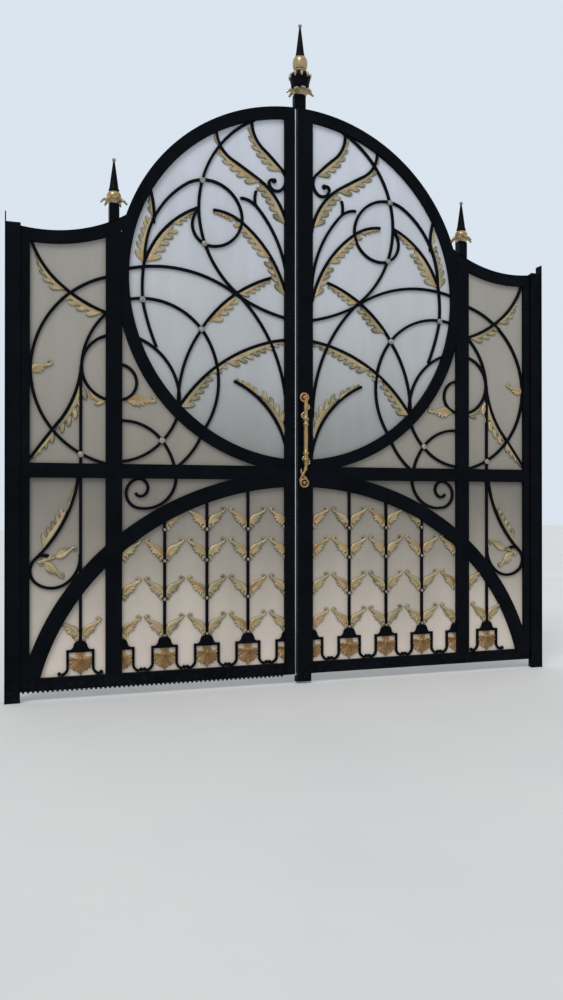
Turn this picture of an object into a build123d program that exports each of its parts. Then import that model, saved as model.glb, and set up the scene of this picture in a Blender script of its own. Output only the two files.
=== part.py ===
from build123d import *
import os
from math import cos, radians, sin, sqrt, tan

# Ornamental double-leaf steel driveway gate, hung between two fixed posts.
# Millimetres, +Z up, X across the gate, the street side looks along +Y.
# The gate is drawn about its middle at X = 0 with the ground at Z = 0, then moved so that
# the origin lies on the underside of the left post's foot.

# Sections
frame_depth = 50.0
rail_height = 100.0
bottom_rail_height = 85.0
post_face = 112.0
hinge_stile_face = 68.0
right_meeting_face = 120.0
left_meeting_face = 80.0
bar_width = 20.0
bar_depth = 16.0
sheet_thickness = 2.0
sheet_setback = 27.0
weld_gap = 0.3

# Across the gate
right_leaf_edge = -20.0
left_leaf_edge = 40.0
side_panel_width = 502.0
hinge_gap = 6.0

# Posts on the walls: a box section on a wall plate, with a stop that laps the leaf's front
wall_post_face = 79.0
wall_post_depth = 62.0
wall_post_rise = 15.0
wall_plate_thickness = 8.0
wall_plate_depth = 76.0
wall_plate_rise = 65.0
stop_lap = 8.0
stop_thickness = 6.0

# Heights
leaf_bottom = 70.0
mid_rail_bottom = 1504.0
anchor_heights = (600.0, 1400.0, 2200.0, 3000.0)
anchor_hole_radius = 6.5

# The great ring: it stands over the middle rail and is coped into the inner posts
ring_inner_radius = 1260.0
ring_band = 88.0
ring_lift = 50.0
ring_cope = 42.0

# Arch under the middle rail, half an ellipse
arch_toe_in = 15.0
arch_lap = 51.0
arch_centre_z = -250.0
arch_band = 110.0

# Hollow-curved rail over the side panels
side_rail_rise = 263.0
top_rail_low_in = 90.0
top_rail_radius = 1032.0
top_rail_band = 88.0

# Row of bars under the arch, between a half unit at each end, and one in the side panel
half_unit_x = 93.0
half_unit_past_post = 6.0
bar_count = 3
side_bar_in = 168.0
side_bar_share = 0.42
collar_radius = 16.0
collar_heights = (1145.0, 925.0, 655.0)
foot_frame_width = 188.0
foot_frame_top = 315.0
foot_bar = 17.0
foot_curl = 13.0
foot_reach = 46.0
cap_height = 57.0
cap_half_width = 67.0
cap_shoulder = 46.0
cap_crown = 24.0

# Gilded leaves
leaf_front_y = -8.0
frond_pitch = 56.0
frond_tip_share = 0.42
frond_valley = 0.42
frond_clear = 0.6
leaf_side = 0.9
smallest_leaf = 1200.0
palmette_hub_drop = 52.0
palmette_neck = 28.0
palmette_spread = 71.0
palmette_drop = 90.0
palmette_lobes = 9

# Rack teeth under the left leaf
tooth_pitch = 32.0
tooth_width = 15.0
tooth_height = 15.0
rack_depth = 12.0

# Hinges
hinge_heights = (260.0, 1700.0, 2900.0)
barrel_radius = 15.0
barrel_height = 60.0
barrel_stand_off = 1.5
pin_radius = 8.0
pin_clearance = 0.3
pin_shortfall = 4.0
strap_thickness = 6.0
strap_length = 60.0

# Spires on the inner posts
finial_stem_face = 68.0
finial_stem_height = 112.0
finial_crown_radius = 88.0
finial_ball_radius = 54.0
finial_cone_radius = 29.0
finial_height = 325.0

# Spire in the middle, on a block that reaches over the left leaf
block_past_edge = 25.0
block_face = 89.0
block_height = 90.0
block_clearance = 10.0
block_bevel = 15.0
crown_radius = 116.0
cup_radius = 77.0
ball_radius = 53.0
cone_radius = 33.0
spire_height = 537.0
spire_shift = 7.0
petal_count = 8

# Pull handle
handle_inset = 48.0
handle_low_z = 1483.0
handle_high_z = 2117.0
handle_proud = 60.0
handle_eye_radius = 35.0
handle_eye_ball = 18.0
handle_bar_radius = 15.0
handle_post_radius = 12.0

# Foot block under the right meeting stile
foot_block_past_edge = 10.0
foot_block_face = 118.0
foot_block_bottom = 12.0
foot_block_bevel = 22.0

# Worked out from the sizes above
front_y = -frame_depth / 2
back_y = frame_depth / 2
sheet_front = front_y + sheet_setback
sheet_back = sheet_front + sheet_thickness
bar_front = sheet_front - bar_depth
mid_rail_top = mid_rail_bottom + rail_height
bottom_rail_top = leaf_bottom + bottom_rail_height
ring_centre_z = mid_rail_top + ring_lift + ring_inner_radius
ring_outer_radius = ring_inner_radius + ring_band
post_in = ring_outer_radius - ring_cope
post_out = post_in + post_face
inner_post_x = (post_in + post_out) / 2
stile_in = post_out + side_panel_width
leaf_reach = stile_in + hinge_stile_face
top_rail_low_z = ring_centre_z + side_rail_rise
top_rail_x = stile_in - top_rail_low_in
top_rail_z = top_rail_low_z + top_rail_radius
leaf_corner_z = top_rail_z - sqrt(top_rail_radius ** 2 - (leaf_reach - top_rail_x) ** 2)
wall_post_top = leaf_corner_z + wall_post_rise
wall_post_in = leaf_reach + hinge_gap
wall_post_out = wall_post_in + wall_post_face
wall_face = wall_post_out + wall_plate_thickness
wall_post_front = back_y - wall_post_depth
hinge_x = leaf_reach + hinge_gap / 2
hinge_y = back_y + barrel_radius + barrel_stand_off
arch_half_width = stile_in - arch_toe_in
arch_rise = mid_rail_bottom - arch_lap - arch_centre_z
bar_pitch = (post_in + half_unit_past_post - half_unit_x) / (bar_count + 1)
cap_base_z = foot_frame_top + foot_bar
cap_top_z = cap_base_z + cap_height
block_bottom = ring_centre_z + ring_outer_radius + block_clearance
block_top = block_bottom + block_height
origin_x = wall_post_in + wall_post_face / 2
far = 6000.0

# Scroll bars of one leaf, each a chain of arcs: end, point passed, end, point passed, end.
# Drawn in a ring, given by its centre and its inner radius.
drawn_ring = (0.0, 2914.0, 1260.0)
ring_scrolls = {
    "stem": [(345, 4132), (763, 3450), (505, 2875), (356, 2719), (262, 2580), (149, 2310), (103, 1985)],
    "loop": [(1163, 2757), (1166, 2880), (1150, 3040), (1000, 3470), (850, 3607), (485, 3530),
             (444, 3425), (538, 3216), (692, 3179), (806, 3288), (766, 3429)],
    "loop_spur": [(1112, 3540), (1086, 3410), (1086, 3300)],
    "upper_bough": [(1266, 2964), (868, 2990), (475, 2838), (288, 2749), (90, 2694)],
    "middle_bough": [(1258, 2751), (1005, 2748), (732, 2563), (618, 2230), (721, 1862)],
    "right_twig": [(1165, 2757), (1125, 2592), (1066, 2428)],
    "right_bough": [(1210, 2490), (1010, 2355), (905, 2005)],
    "short_bough": [(740, 2576), (871, 2309), (912, 2015)],
    "frond_1": [(367, 4130), (346, 4012), (284, 3928), (215, 3868), (150, 3802), (108, 3712),
                (136, 3650), (190, 3630), (233, 3668), (221, 3707), (195, 3702)],
    "frond_2": [(634, 4028), (608, 3914), (523, 3822), (418, 3762), (300, 3690), (171, 3556),
                (96, 3350)],
    "fork": [(96, 2870), (186, 3286), (342, 3510)],
    "fork_prong_1": [(341, 3506), (346, 3556), (338, 3606)],
    "fork_prong_2": [(341, 3506), (388, 3536), (446, 3548)],
    "frond_3": [(657, 3439), (560, 3426), (446, 3372), (254, 3183), (98, 2830)],
    "frond_4": [(772, 3442), (983, 3298), (1152, 3017)],
    "frond_6": [(224, 2985), (512, 2832), (744, 2577)],
    "frond_7": [(92, 2540), (529, 2386), (923, 1985)],
    "frond_8": [(502, 2216), (246, 2024), (92, 1670)],
}
ring_bosses = [(737, 3643), (722, 3190), (744, 2575), (1165, 2757)]
spandrel_scrolls = {
    "half_circle": [(1330, 2295), (1205, 2179), (1330, 2048)],
    "low_bough": [(915, 1950), (965, 1845), (1023, 1771), (1172, 1659), (1330, 1620)],
    "high_bough": [(1330, 1903), (1168, 1880), (1028, 1775), (967, 1676), (935, 1580)],
    "arch_bough": [(744, 1812), (818, 1689), (932, 1580)],
}
spandrel_bosses = [(1026, 1773)]
spandrel_leaf = [(1306, 2031), (1246, 2040), (1181, 2033), (1128, 2039), (1098, 2049), (1080, 2068),
                 (1092, 2082), (1120, 2091), (1146, 2087), (1166, 2106), (1192, 2096), (1212, 2106),
                 (1236, 2090), (1266, 2072), (1306, 2052)]

# Drawn in a side panel, given by its lower inner corner, its width and its height
drawn_side = (1418.0, 1604.0, 502.0, 1489.0)
side_scrolls = {
    "great_arc": [(1404, 2899), (1761, 2664), (1916, 2260), (1816, 1890), (1400, 1602)],
    "corner_frond": [(1926, 3150), (1861, 2991), (1733, 2833), (1578, 2722), (1404, 2646)],
    "post_frond": [(1400, 2658), (1533, 2476), (1580, 2300), (1622, 2092), (1710, 1915),
                   (1804, 1793), (1945, 1596)],
    "small_arc": [(1404, 2492), (1580, 2272), (1404, 2046)],
}
side_bosses = [(1586, 1666)]
stile_leaf = [(1920, 2192), (1890, 2193), (1858, 2215), (1825, 2245), (1800, 2267), (1770, 2297),
              (1748, 2323), (1755, 2341), (1778, 2348), (1794, 2338), (1775, 2328), (1771, 2318),
              (1790, 2311), (1830, 2305), (1870, 2290), (1900, 2280), (1920, 2274)]

# Drawn from the corner of inner post and middle rail, over the arch
drawn_spiral = (1306.0, 1504.0)
spiral_scrolls = {
    "spiral": [(926, 1525), (990, 1360), (1180, 1297), (1277, 1395), (1196, 1502),
               (1127, 1455), (1150, 1390), (1182, 1380), (1211, 1404)],
}

# Drawn from the outer face of the inner post, under the middle rail
drawn_loop = (1418.0, 1504.0)
low_side_scrolls = {
    "loop": [(1600, 1525), (1697, 1206), (1882, 957), (1917, 880), (1887, 800),
             (1789, 757), (1697, 776), (1616, 858), (1590, 982)],
    "loop_stub": [(1876, 966), (1838, 979), (1798, 976)],
}
loop_leaves = [(1812, 975), (1789, 984), (1722, 1008), (1667, 1024), (1630, 1046), (1612, 1040),
               (1618, 1026), (1656, 1000), (1689, 974), (1722, 962), (1752, 952), (1762, 938),
               (1744, 910), (1728, 884), (1706, 862), (1684, 858), (1671, 838), (1676, 818),
               (1698, 810), (1714, 826), (1722, 846), (1756, 870), (1786, 899), (1808, 930),
               (1824, 956)]

# Gilded fronds: the bar each grows on, the side of it, the shares of the bar's length where its
# tip and its root are, and how far it reaches from the bar's middle
ring_fronds = [
    ("frond_1", 1, 0.06, 0.55, 76), ("frond_2", 1, 0.15, 0.95, 80), ("frond_3", 1, 0.01, 0.95, 68),
    ("frond_4", -1, 0.06, 0.96, 92), ("frond_6", -1, 0.01, 0.87, 80), ("frond_7", -1, 0.01, 0.96, 84),
    ("frond_8", -1, 0.01, 0.79, 86),
]
loop_frond = [(1108, 3520), (1087, 3415), (1090, 3300), (1127, 3170), (1152, 3010)]
loop_frond_reach = 68.0
side_fronds = [("corner_frond", 1, 0.20, 0.96, 70),("post_frond", -1, 0.93, 0.46, 82),
               ("small_arc", 1, 0.75, 0.98, 56)]
low_side_fronds = [("loop", 1, 0.07, 0.465, 64)]

# One gilded leaf of a pair, drawn from the collar it springs from, with its tip curled back
leaf_outline = [(3, 2), (52, 20), (48, 42), (92, 68), (100, 94), (146, 132), (152, 160), (132, 178),
                (102, 170), (128, 158), (114, 134), (62, 122), (26, 84), (3, 34)]


def box2(x0, x1, z0, z1):
    """A rectangle between two corners, drawn in X and Z."""
    return Pos((x0 + x1) / 2, (z0 + z1) / 2) * Rectangle(x1 - x0, z1 - z0)


def disc(x, z, radius):
    """A round disc drawn in X and Z."""
    return Pos(x, z) * Circle(radius)


def plate(sketch, y_front, y_back):
    """The sketch, drawn in X and Z, made solid between two depths."""
    return extrude(Plane.XZ.offset(-y_back) * sketch, amount=y_back - y_front)


def polygon(points):
    """A face with straight sides through the points."""
    return make_face(Polyline(*points, close=True))


def turned(*lines):
    """A solid turned about the upright axis from a closed half outline."""
    outline = None
    for line in lines:
        outline = line if outline is None else outline + line
    return revolve(make_face(Plane.XZ * outline), Axis.Z)


def fitted(scrolls, drawn, seat, stretch=(1.0, 1.0)):
    """Scroll points moved from where they were drawn to their seat, and stretched with it."""
    return {name: place(points, drawn, seat, stretch) for name, points in scrolls.items()}


def place(points, drawn, seat, stretch=(1.0, 1.0)):
    """Points moved from where they were drawn to their seat, and stretched with it."""
    return [(seat[0] + (x - drawn[0]) * stretch[0], seat[1] + (z - drawn[1]) * stretch[1])
            for x, z in points]


def arcs_of(points):
    """The chain of arcs through the points."""
    return [ThreePointArc(*points[i:i + 3]) for i in range(0, len(points) - 2, 2)]


def bent_bar(points, width):
    """The outline of a flat bar bent through a chain of arcs."""
    outline = None
    for i, arc in enumerate(arcs_of(points)):
        strip = trace(arc, width)
        outline = strip if outline is None else outline + strip
        if i:
            outline += disc(*points[2 * i], width / 2)
    return outline


def lattice(scrolls, opening, width=bar_width, bosses=()):
    """Bent bars fused where they cross, with their bosses, trimmed to the opening they stand in."""
    outline = None
    for points in scrolls.values():
        bar = bent_bar(points, width)
        outline = bar if outline is None else outline + bar
    for boss in bosses:
        outline += disc(*boss, collar_radius + (width - bar_width) / 2)
    return outline & opening


def frond(points, way, tip, root, reach):
    """A gilded half leaf along one side of a bent bar, cut into teeth that lean to its tip."""
    spine = Wire(arcs_of(points))
    length = (root - tip) * spine.length
    count = max(4, round(abs(length) / frond_pitch))
    pitch = length / count
    edge = bar_width / 2 + frond_clear

    def at(steps, out):
        share = min(max(tip + steps * pitch / spine.length, 0.0), 1.0)
        spot = spine @ share
        way_on = spine % share
        return (spot.X - way * way_on.Y * out, spot.Y + way * way_on.X * out)

    inner = [at(k / 2, edge) for k in range(2 * count, -1, -1)]
    outer = []
    for k in range(count):
        spread = frond_tip_share + (1 - frond_tip_share) * min(1.0, (k + 0.7) / (0.6 * count))
        depth = reach * spread - edge
        outer.append(at(k + 0.35, edge + depth * frond_valley))
        outer.append(at(k - 0.05, edge + depth * 0.90))
        outer.append(at(k + 0.12, edge + depth))
        outer.append(at(k + 0.50, edge + depth * 0.92))
        if k < count - 1:
            outer.append(at(k + 0.98, edge + depth * 0.65))
    return polygon(inner + outer)


def leaf_of_pair(x, z, way, turn=0.0, size=leaf_side):
    """One leaf that springs from a point, to the right or to the left of it, turned about it."""
    points = []
    for along, up in leaf_outline:
        u = along * size
        v = up * size
        c = cos(radians(turn))
        s = sin(radians(turn))
        points.append((x + way * (u * c - v * s), z + u * s + v * c))
    return polygon(points)


def palmette(x, top):
    """A fan of lobes that hangs by its neck from the top bar of a foot frame."""
    hub_z = top - palmette_hub_drop
    first = 14
    step = (180 + 2 * first) / (palmette_lobes - 1)
    points = [(x + palmette_neck, top), (x + palmette_neck * 0.85, hub_z + palmette_neck)]
    for k in range(palmette_lobes):
        for turn, share in ((0.36, 0.93), (0.0, 1.0), (-0.36, 0.93), (-0.5, 0.80)):
            if k == palmette_lobes - 1 and turn == -0.5:
                continue
            a = radians(first - step * (k - turn))
            reach = palmette_spread + (palmette_drop - palmette_spread) * max(0.0, -sin(a)) ** 3
            points.append((x + reach * share * cos(a), hub_z + reach * share * sin(a)))
    points += [(x - palmette_neck * 0.85, hub_z + palmette_neck), (x - palmette_neck, top)]
    return polygon(points)


def ellipse(half_width, rise):
    """One of the arch's two edges, as a full ellipse."""
    return Pos(0, arch_centre_z) * Ellipse(half_width, rise)


def rail_top_at(x):
    """Height of the hollow-curved rail's upper edge at X."""
    return top_rail_z - sqrt(top_rail_radius ** 2 - (top_rail_x - x) ** 2)


def crown(radius, neck, low, high):
    """Pointed leaves that spread from a round neck and curl down at their tips."""
    rise = high - low
    root = neck * 0.6
    bend = root + (radius - root) * 0.62
    half = bend * tan(radians(180 / petal_count)) * 0.92
    side = plate(polygon([
        (root, low), (bend, low + rise * 0.5), (radius, low - rise * 0.12), (radius, low + rise * 0.2),
        (bend * 1.06, high), (bend * 0.84, high), (root, low + rise * 0.55)]), -half, half)
    plan = polygon([(root, -half * 0.5), (bend, -half), (radius, -1), (radius, 1), (bend, half),
                    (root, half * 0.5)])
    petal = side & extrude(Plane.XY.offset(low - rise) * plan, amount=3 * rise)
    leaves = [Rot(0, 0, 360 / petal_count * k) * petal for k in range(petal_count)]
    return Part() + leaves


class Leaf:
    """One leaf of the gate, drawn on the +X side."""

    def __init__(self, side, edge, meeting_face):
        self.side = side
        self.edge = edge
        self.inner = edge + meeting_face
        self.nodes = {}
        seat = (0.0, ring_centre_z)
        grow = ring_inner_radius / drawn_ring[2]
        self.ring_lines = fitted(ring_scrolls, drawn_ring, seat, (grow, grow))
        self.ring_spots = place(ring_bosses, drawn_ring, seat, (grow, grow))
        self.ring_extra = place(loop_frond, drawn_ring, seat, (grow, grow))
        self.corner_lines = fitted(spandrel_scrolls, drawn_ring, seat, (grow, grow))
        self.corner_spots = place(spandrel_bosses, drawn_ring, seat, (grow, grow))
        self.corner_leaf = place(spandrel_leaf, drawn_ring, seat, (grow, grow))
        seat = (post_out, mid_rail_top)
        self.side_stretch = (side_panel_width / drawn_side[2],
                             (top_rail_low_z - top_rail_band - mid_rail_top) / drawn_side[3])
        self.side_lines = fitted(side_scrolls, drawn_side, seat, self.side_stretch)
        self.side_spots = place(side_bosses, drawn_side, seat, self.side_stretch)
        self.side_leaf = place(stile_leaf, drawn_side, seat, self.side_stretch)
        self.spiral_lines = fitted(spiral_scrolls, drawn_spiral, (post_in, mid_rail_bottom))
        seat = (post_out, mid_rail_bottom)
        low_stretch = (self.side_stretch[0], 1.0)
        self.loop_lines = fitted(low_side_scrolls, drawn_loop, seat, low_stretch)
        self.loop_leaf = place(loop_leaves, drawn_loop, seat, low_stretch)
        self.side_bar_x = post_out + side_bar_in * self.side_stretch[0]

    def ring_opening(self, inset=0.0):
        """The space inside the ring, from the meeting stile outwards."""
        round_hole = disc(0, ring_centre_z, ring_inner_radius - inset)
        return round_hole & box2(self.inner + inset, far, 0, far)

    def spandrel_opening(self, inset=0.0):
        """The corner between ring, inner post and middle rail."""
        corner = box2(self.inner, post_in - inset, mid_rail_top + inset, ring_centre_z)
        return corner - disc(0, ring_centre_z, ring_outer_radius + inset)

    def side_opening(self, inset=0.0):
        """The tall panel between inner post and hinge stile, over the middle rail."""
        tall = box2(post_out + inset, stile_in - inset, mid_rail_top + inset, top_rail_z)
        return tall - disc(top_rail_x, top_rail_z, top_rail_radius + top_rail_band + inset)

    def low_openings(self, inset=0.0):
        """The four spaces under the middle rail: under and over the arch, in and out."""
        z0 = bottom_rail_top + inset
        z1 = mid_rail_bottom - inset
        near = box2(self.inner + inset, post_in - inset, z0, z1)
        outer = box2(post_out + inset, stile_in - inset, z0, z1)
        under = ellipse(arch_half_width - inset, arch_rise - inset)
        over = ellipse(arch_half_width + arch_band + inset, arch_rise + arch_band + inset)
        return {
            "near_under": near & under,
            "near_over": near - over,
            "outer_under": outer & under,
            "outer_over": outer - over,
        }

    def frame(self):
        """Stiles, posts and rails."""
        ring_disc = disc(0, ring_centre_z, ring_inner_radius)
        below = box2(-far, far, -far, ring_centre_z)
        meeting = box2(self.edge, self.inner, leaf_bottom, far) & (ring_disc + below)
        self.nodes["meeting_stile"] = plate(meeting, front_y, back_y)

        stile = box2(stile_in, leaf_reach, leaf_bottom, top_rail_z)
        stile -= disc(top_rail_x, top_rail_z, top_rail_radius + top_rail_band)
        self.nodes["hinge_stile"] = plate(stile, front_y, back_y)

        post = box2(post_in, post_out, bottom_rail_top, top_rail_z)
        post -= disc(top_rail_x, top_rail_z, top_rail_radius + top_rail_band)
        self.nodes["inner_post"] = plate(post, front_y, back_y)

        bottom = box2(self.inner, stile_in, leaf_bottom, bottom_rail_top)
        self.nodes["bottom_rail"] = plate(bottom, front_y, back_y)

        middle = box2(self.inner, post_in, mid_rail_bottom, mid_rail_top)
        middle += box2(post_out, stile_in, mid_rail_bottom, mid_rail_top)
        self.nodes["mid_rail"] = plate(middle, front_y, back_y)

    def ring(self):
        """The leaf's half of the great ring, coped to stile, post and middle rail."""
        band = disc(0, ring_centre_z, ring_outer_radius)
        band -= disc(0, ring_centre_z, ring_inner_radius)
        upper = box2(self.edge, post_in, ring_centre_z, far)
        lower = box2(self.inner, post_in, mid_rail_top, ring_centre_z)
        self.nodes["ring"] = plate(band & (upper + lower), front_y, back_y)

    def top_rail(self):
        """The sagging rail from the ring over the inner post and the hinge stile."""
        band = disc(top_rail_x, top_rail_z, top_rail_radius + top_rail_band)
        band -= disc(top_rail_x, top_rail_z, top_rail_radius)
        band &= box2(post_in - post_face, leaf_reach, ring_centre_z, top_rail_z)
        band -= disc(0, ring_centre_z, ring_outer_radius)
        self.nodes["side_top_rail"] = plate(band, front_y, back_y)

    def arch(self):
        """The flattened arch under the middle rail, passing behind no post."""
        band = ellipse(arch_half_width + arch_band, arch_rise + arch_band)
        band -= ellipse(arch_half_width, arch_rise)
        spaces = box2(self.inner, post_in, bottom_rail_top, mid_rail_bottom)
        spaces += box2(post_out, stile_in, bottom_rail_top, mid_rail_bottom)
        self.nodes["lower_arch"] = plate(band & spaces, front_y, back_y)

    def sheets(self):
        """Backing sheets that close every panel."""
        self.nodes["ring_sheet"] = plate(self.ring_opening(), sheet_front, sheet_back)
        upper = self.spandrel_opening() + self.side_opening()
        self.nodes["upper_sheets"] = plate(upper, sheet_front, sheet_back)
        lower = Sketch() + list(self.low_openings().values())
        self.nodes["lower_sheets"] = plate(lower, sheet_front, sheet_back)

    def upright(self, x, z0, z1, width=bar_width):
        """The outline of a straight upright bar."""
        return box2(x - width / 2, x + width / 2, z0, z1)

    def ring_lattice(self, width=bar_width):
        """Outline of the bars inside the ring."""
        return lattice(self.ring_lines, self.ring_opening(weld_gap), width, self.ring_spots)

    def outer_lattice(self, width=bar_width):
        """Outline of the bars in the corner, side panel and the spaces over the arch."""
        low = self.low_openings(weld_gap)
        side = self.side_opening(weld_gap)
        high_end = mid_rail_top + (top_rail_low_z - mid_rail_top) * side_bar_share
        outer = lattice(self.corner_lines, self.spandrel_opening(weld_gap), width, self.corner_spots)
        outer += lattice(self.side_lines, side, width, self.side_spots)
        outer += self.upright(self.side_bar_x, mid_rail_top, high_end, width) & side
        outer += lattice(self.spiral_lines, low["near_over"], width)
        outer += lattice(self.loop_lines, low["outer_over"], width)
        outer += self.upright(self.side_bar_x, 0, mid_rail_bottom, width) & low["outer_over"]
        return outer

    def scrolls(self):
        """Bent scroll bars in front of the sheets."""
        self.nodes["ring_scrolls"] = plate(self.ring_lattice(), bar_front, sheet_front)
        self.nodes["outer_scrolls"] = plate(self.outer_lattice(), bar_front, sheet_front)

    def foot_frame(self, x):
        """The square frame that carries an upright bar, with its bell cap and curled feet."""
        half = foot_frame_width / 2
        outline = box2(x - half, x + half, foot_frame_top, cap_base_z)
        shoulder_z = cap_base_z + cap_height * 0.45
        hollow = (cap_shoulder + (cap_half_width - cap_shoulder) * 0.35, cap_base_z + cap_height * 0.18)
        round_z = cap_base_z + cap_height * 0.82
        bell = Line((x - cap_half_width, cap_base_z), (x + cap_half_width, cap_base_z))
        bell += Line((x - cap_crown, cap_top_z), (x + cap_crown, cap_top_z))
        for way in (-1, 1):
            bell += ThreePointArc((x + way * cap_half_width, cap_base_z), (x + way * hollow[0], hollow[1]),
                                  (x + way * cap_shoulder, shoulder_z))
            bell += ThreePointArc((x + way * cap_shoulder, shoulder_z),
                                  (x + way * (cap_shoulder + cap_crown) * 0.54, round_z),
                                  (x + way * cap_crown, cap_top_z))
        outline += make_face(bell)
        floor = bottom_rail_top + foot_bar / 2
        ankle = bottom_rail_top + foot_reach
        for way in (-1, 1):
            leg = x + way * (half - foot_bar / 2)
            ball = x + way * (half + foot_reach)
            outline += box2(leg - foot_bar / 2, leg + foot_bar / 2, ankle, cap_base_z)
            outline += bent_bar([(leg, ankle), (leg + way * foot_bar * 0.7, floor + foot_bar),
                                 (ball - way * foot_curl, floor)], foot_bar)
            outline += disc(leg, ankle, foot_bar / 2)
            outline += disc(ball, bottom_rail_top + foot_curl + 4, foot_curl)
        return outline

    def unit_places(self):
        """X of the half units and full units under the arch, in order."""
        return [half_unit_x + k * bar_pitch for k in range(bar_count + 2)]

    def bar_row(self, grow=0.0):
        """Outline of the upright bars under the arch, each standing on its foot frame."""
        low = self.low_openings(weld_gap)
        near = None
        for k, x in enumerate(self.unit_places()):
            unit = self.foot_frame(x)
            if 0 < k <= bar_count:
                unit += self.upright(x, cap_base_z, far, bar_width + grow)
                for z in collar_heights:
                    unit += disc(x, z, collar_radius + grow / 2)
            near = unit if near is None else near + unit
        x = self.side_bar_x
        outer = self.foot_frame(x) + self.upright(x, cap_base_z, far, bar_width + grow)
        return (near & low["near_under"]) + (outer & low["outer_under"])

    def bars(self):
        """Upright bars under the arch."""
        self.nodes["lower_bars"] = plate(self.bar_row(), bar_front, sheet_front)

    def fronds(self):
        """Gilded half leaves along the scroll bars, lying on the sheets."""
        wide = bar_width + 2 * frond_clear
        inside = Sketch() + [frond(self.ring_lines[name], *rest) for name, *rest in ring_fronds]
        inside += frond(self.ring_extra, 1, 0.02, 0.99, loop_frond_reach)
        gold = (inside & self.ring_opening(weld_gap)) - self.ring_lattice(wide)
        outside = Sketch() + [frond(self.side_lines[name], *rest) for name, *rest in side_fronds]
        outside &= self.side_opening(weld_gap)
        low = Sketch() + [frond(self.loop_lines[name], *rest) for name, *rest in low_side_fronds]
        outside += low & self.low_openings(weld_gap)["outer_over"]
        gold += outside - self.outer_lattice(wide)
        keep = [face for face in gold.faces() if face.area > smallest_leaf]
        self.nodes["fronds"] = plate(Sketch() + keep, leaf_front_y, sheet_front)

    def lower_leaves(self):
        """Gilded leaf pairs on the bars, palmettes in the foot frames and the single leaves."""
        low = self.low_openings(weld_gap)
        clear = bar_width / 2 + frond_clear
        gold = None
        rows = collar_heights + (cap_top_z,)
        places = self.unit_places()
        for k, x in enumerate(places):
            for z in rows:
                for way in (-1, 1):
                    if (k == 0 and way < 0) or (k == bar_count + 1 and way > 0):
                        continue
                    blade = leaf_of_pair(x + way * clear, z, way)
                    gold = blade if gold is None else gold + blade
            gold += palmette(x, foot_frame_top - frond_clear)
        gold = gold & low["near_under"]
        x = self.side_bar_x
        outer = palmette(x, foot_frame_top - frond_clear)
        for way in (-1, 1):
            outer += leaf_of_pair(x + way * clear, cap_top_z, way)
        if self.side == "right":
            outer += leaf_of_pair(post_out, collar_heights[-1], 1)
        gold += outer & low["outer_under"]
        gold -= self.bar_row(2 * frond_clear)

        single = polygon(self.corner_leaf) & self.spandrel_opening(weld_gap)
        single += polygon(self.side_leaf) & self.side_opening(weld_gap)
        single += polygon(self.loop_leaf) & low["outer_over"]
        gold += single - self.outer_lattice(bar_width + 2 * frond_clear)
        keep = [face for face in gold.faces() if face.area > smallest_leaf]
        self.nodes["lower_leaves"] = plate(Sketch() + keep, leaf_front_y, sheet_front)

    def post_finial(self):
        """Spire on the inner post: stem, leaf crown, ball, cone and tip."""
        half = finial_stem_face / 2
        x = inner_post_x
        seat = rail_top_at(x + half)
        top = rail_top_at(x) + finial_stem_height
        stem = box2(x - half, x + half, seat - top_rail_band, top)
        stem &= disc(top_rail_x, top_rail_z, top_rail_radius)
        body = plate(stem, -half, half)
        ball_z = top + finial_ball_radius
        cone_z = ball_z + finial_ball_radius * 0.86
        tip = finial_cone_radius * 0.42
        tip_z = top + finial_height
        spire = turned(
            Polyline((0, top - 10), (half * 0.7, top - 10), (half * 0.7, top + 10)),
            ThreePointArc((half * 0.7, top + 10), (finial_ball_radius, ball_z), (finial_cone_radius, cone_z)),
            Polyline((finial_cone_radius, cone_z), (tip * 0.5, tip_z - 2 * tip)),
            ThreePointArc((tip * 0.5, tip_z - 2 * tip), (tip, tip_z - tip), (tip * 0.5, tip_z - 0.2 * tip)),
            Polyline((tip * 0.5, tip_z - 0.2 * tip), (0, tip_z), (0, top - 10)))
        leaves = crown(finial_crown_radius, half, top - 5, top + 26)
        self.nodes["post_finial"] = body + Pos(x, 0, 0) * (spire + leaves)

    def hinge_knuckles(self):
        """The leaf's half of each hinge: strap and bored barrel above the post's barrel."""
        halves = []
        stand = (Align.CENTER, Align.CENTER, Align.MIN)
        for z in hinge_heights:
            barrel = Cylinder(barrel_radius, barrel_height, align=stand)
            reach = barrel_radius + barrel_stand_off - strap_thickness / 2
            strap = Pos(-strap_length / 2, -reach, barrel_height / 2) * Box(
                strap_length, strap_thickness, barrel_height)
            bore = Cylinder(pin_radius + pin_clearance, barrel_height, align=stand)
            knuckle = barrel + strap - bore
            halves.append(Pos(hinge_x, hinge_y, z + pin_clearance) * knuckle)
        self.nodes["hinge_knuckles"] = Compound(halves)

    def rack(self):
        """Toothed strip under the bottom rail."""
        outline = None
        count = int((leaf_reach - self.inner) / tooth_pitch)
        for k in range(count):
            x = self.inner + (k + 0.5) * tooth_pitch
            tooth = box2(x - tooth_width / 2, x + tooth_width / 2, leaf_bottom - tooth_height, leaf_bottom)
            outline = tooth if outline is None else outline + tooth
        spine = box2(self.inner, leaf_reach, leaf_bottom - tooth_height / 3, leaf_bottom)
        self.nodes["toothed_strip"] = plate(outline + spine, -rack_depth / 2, rack_depth / 2)

    def build(self):
        """All the pieces of the leaf, by name."""
        self.frame()
        self.ring()
        self.top_rail()
        self.arch()
        self.sheets()
        self.scrolls()
        self.bars()
        self.fronds()
        self.lower_leaves()
        self.post_finial()
        self.hinge_knuckles()
        if self.side == "left":
            self.rack()
        return self.nodes


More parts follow.
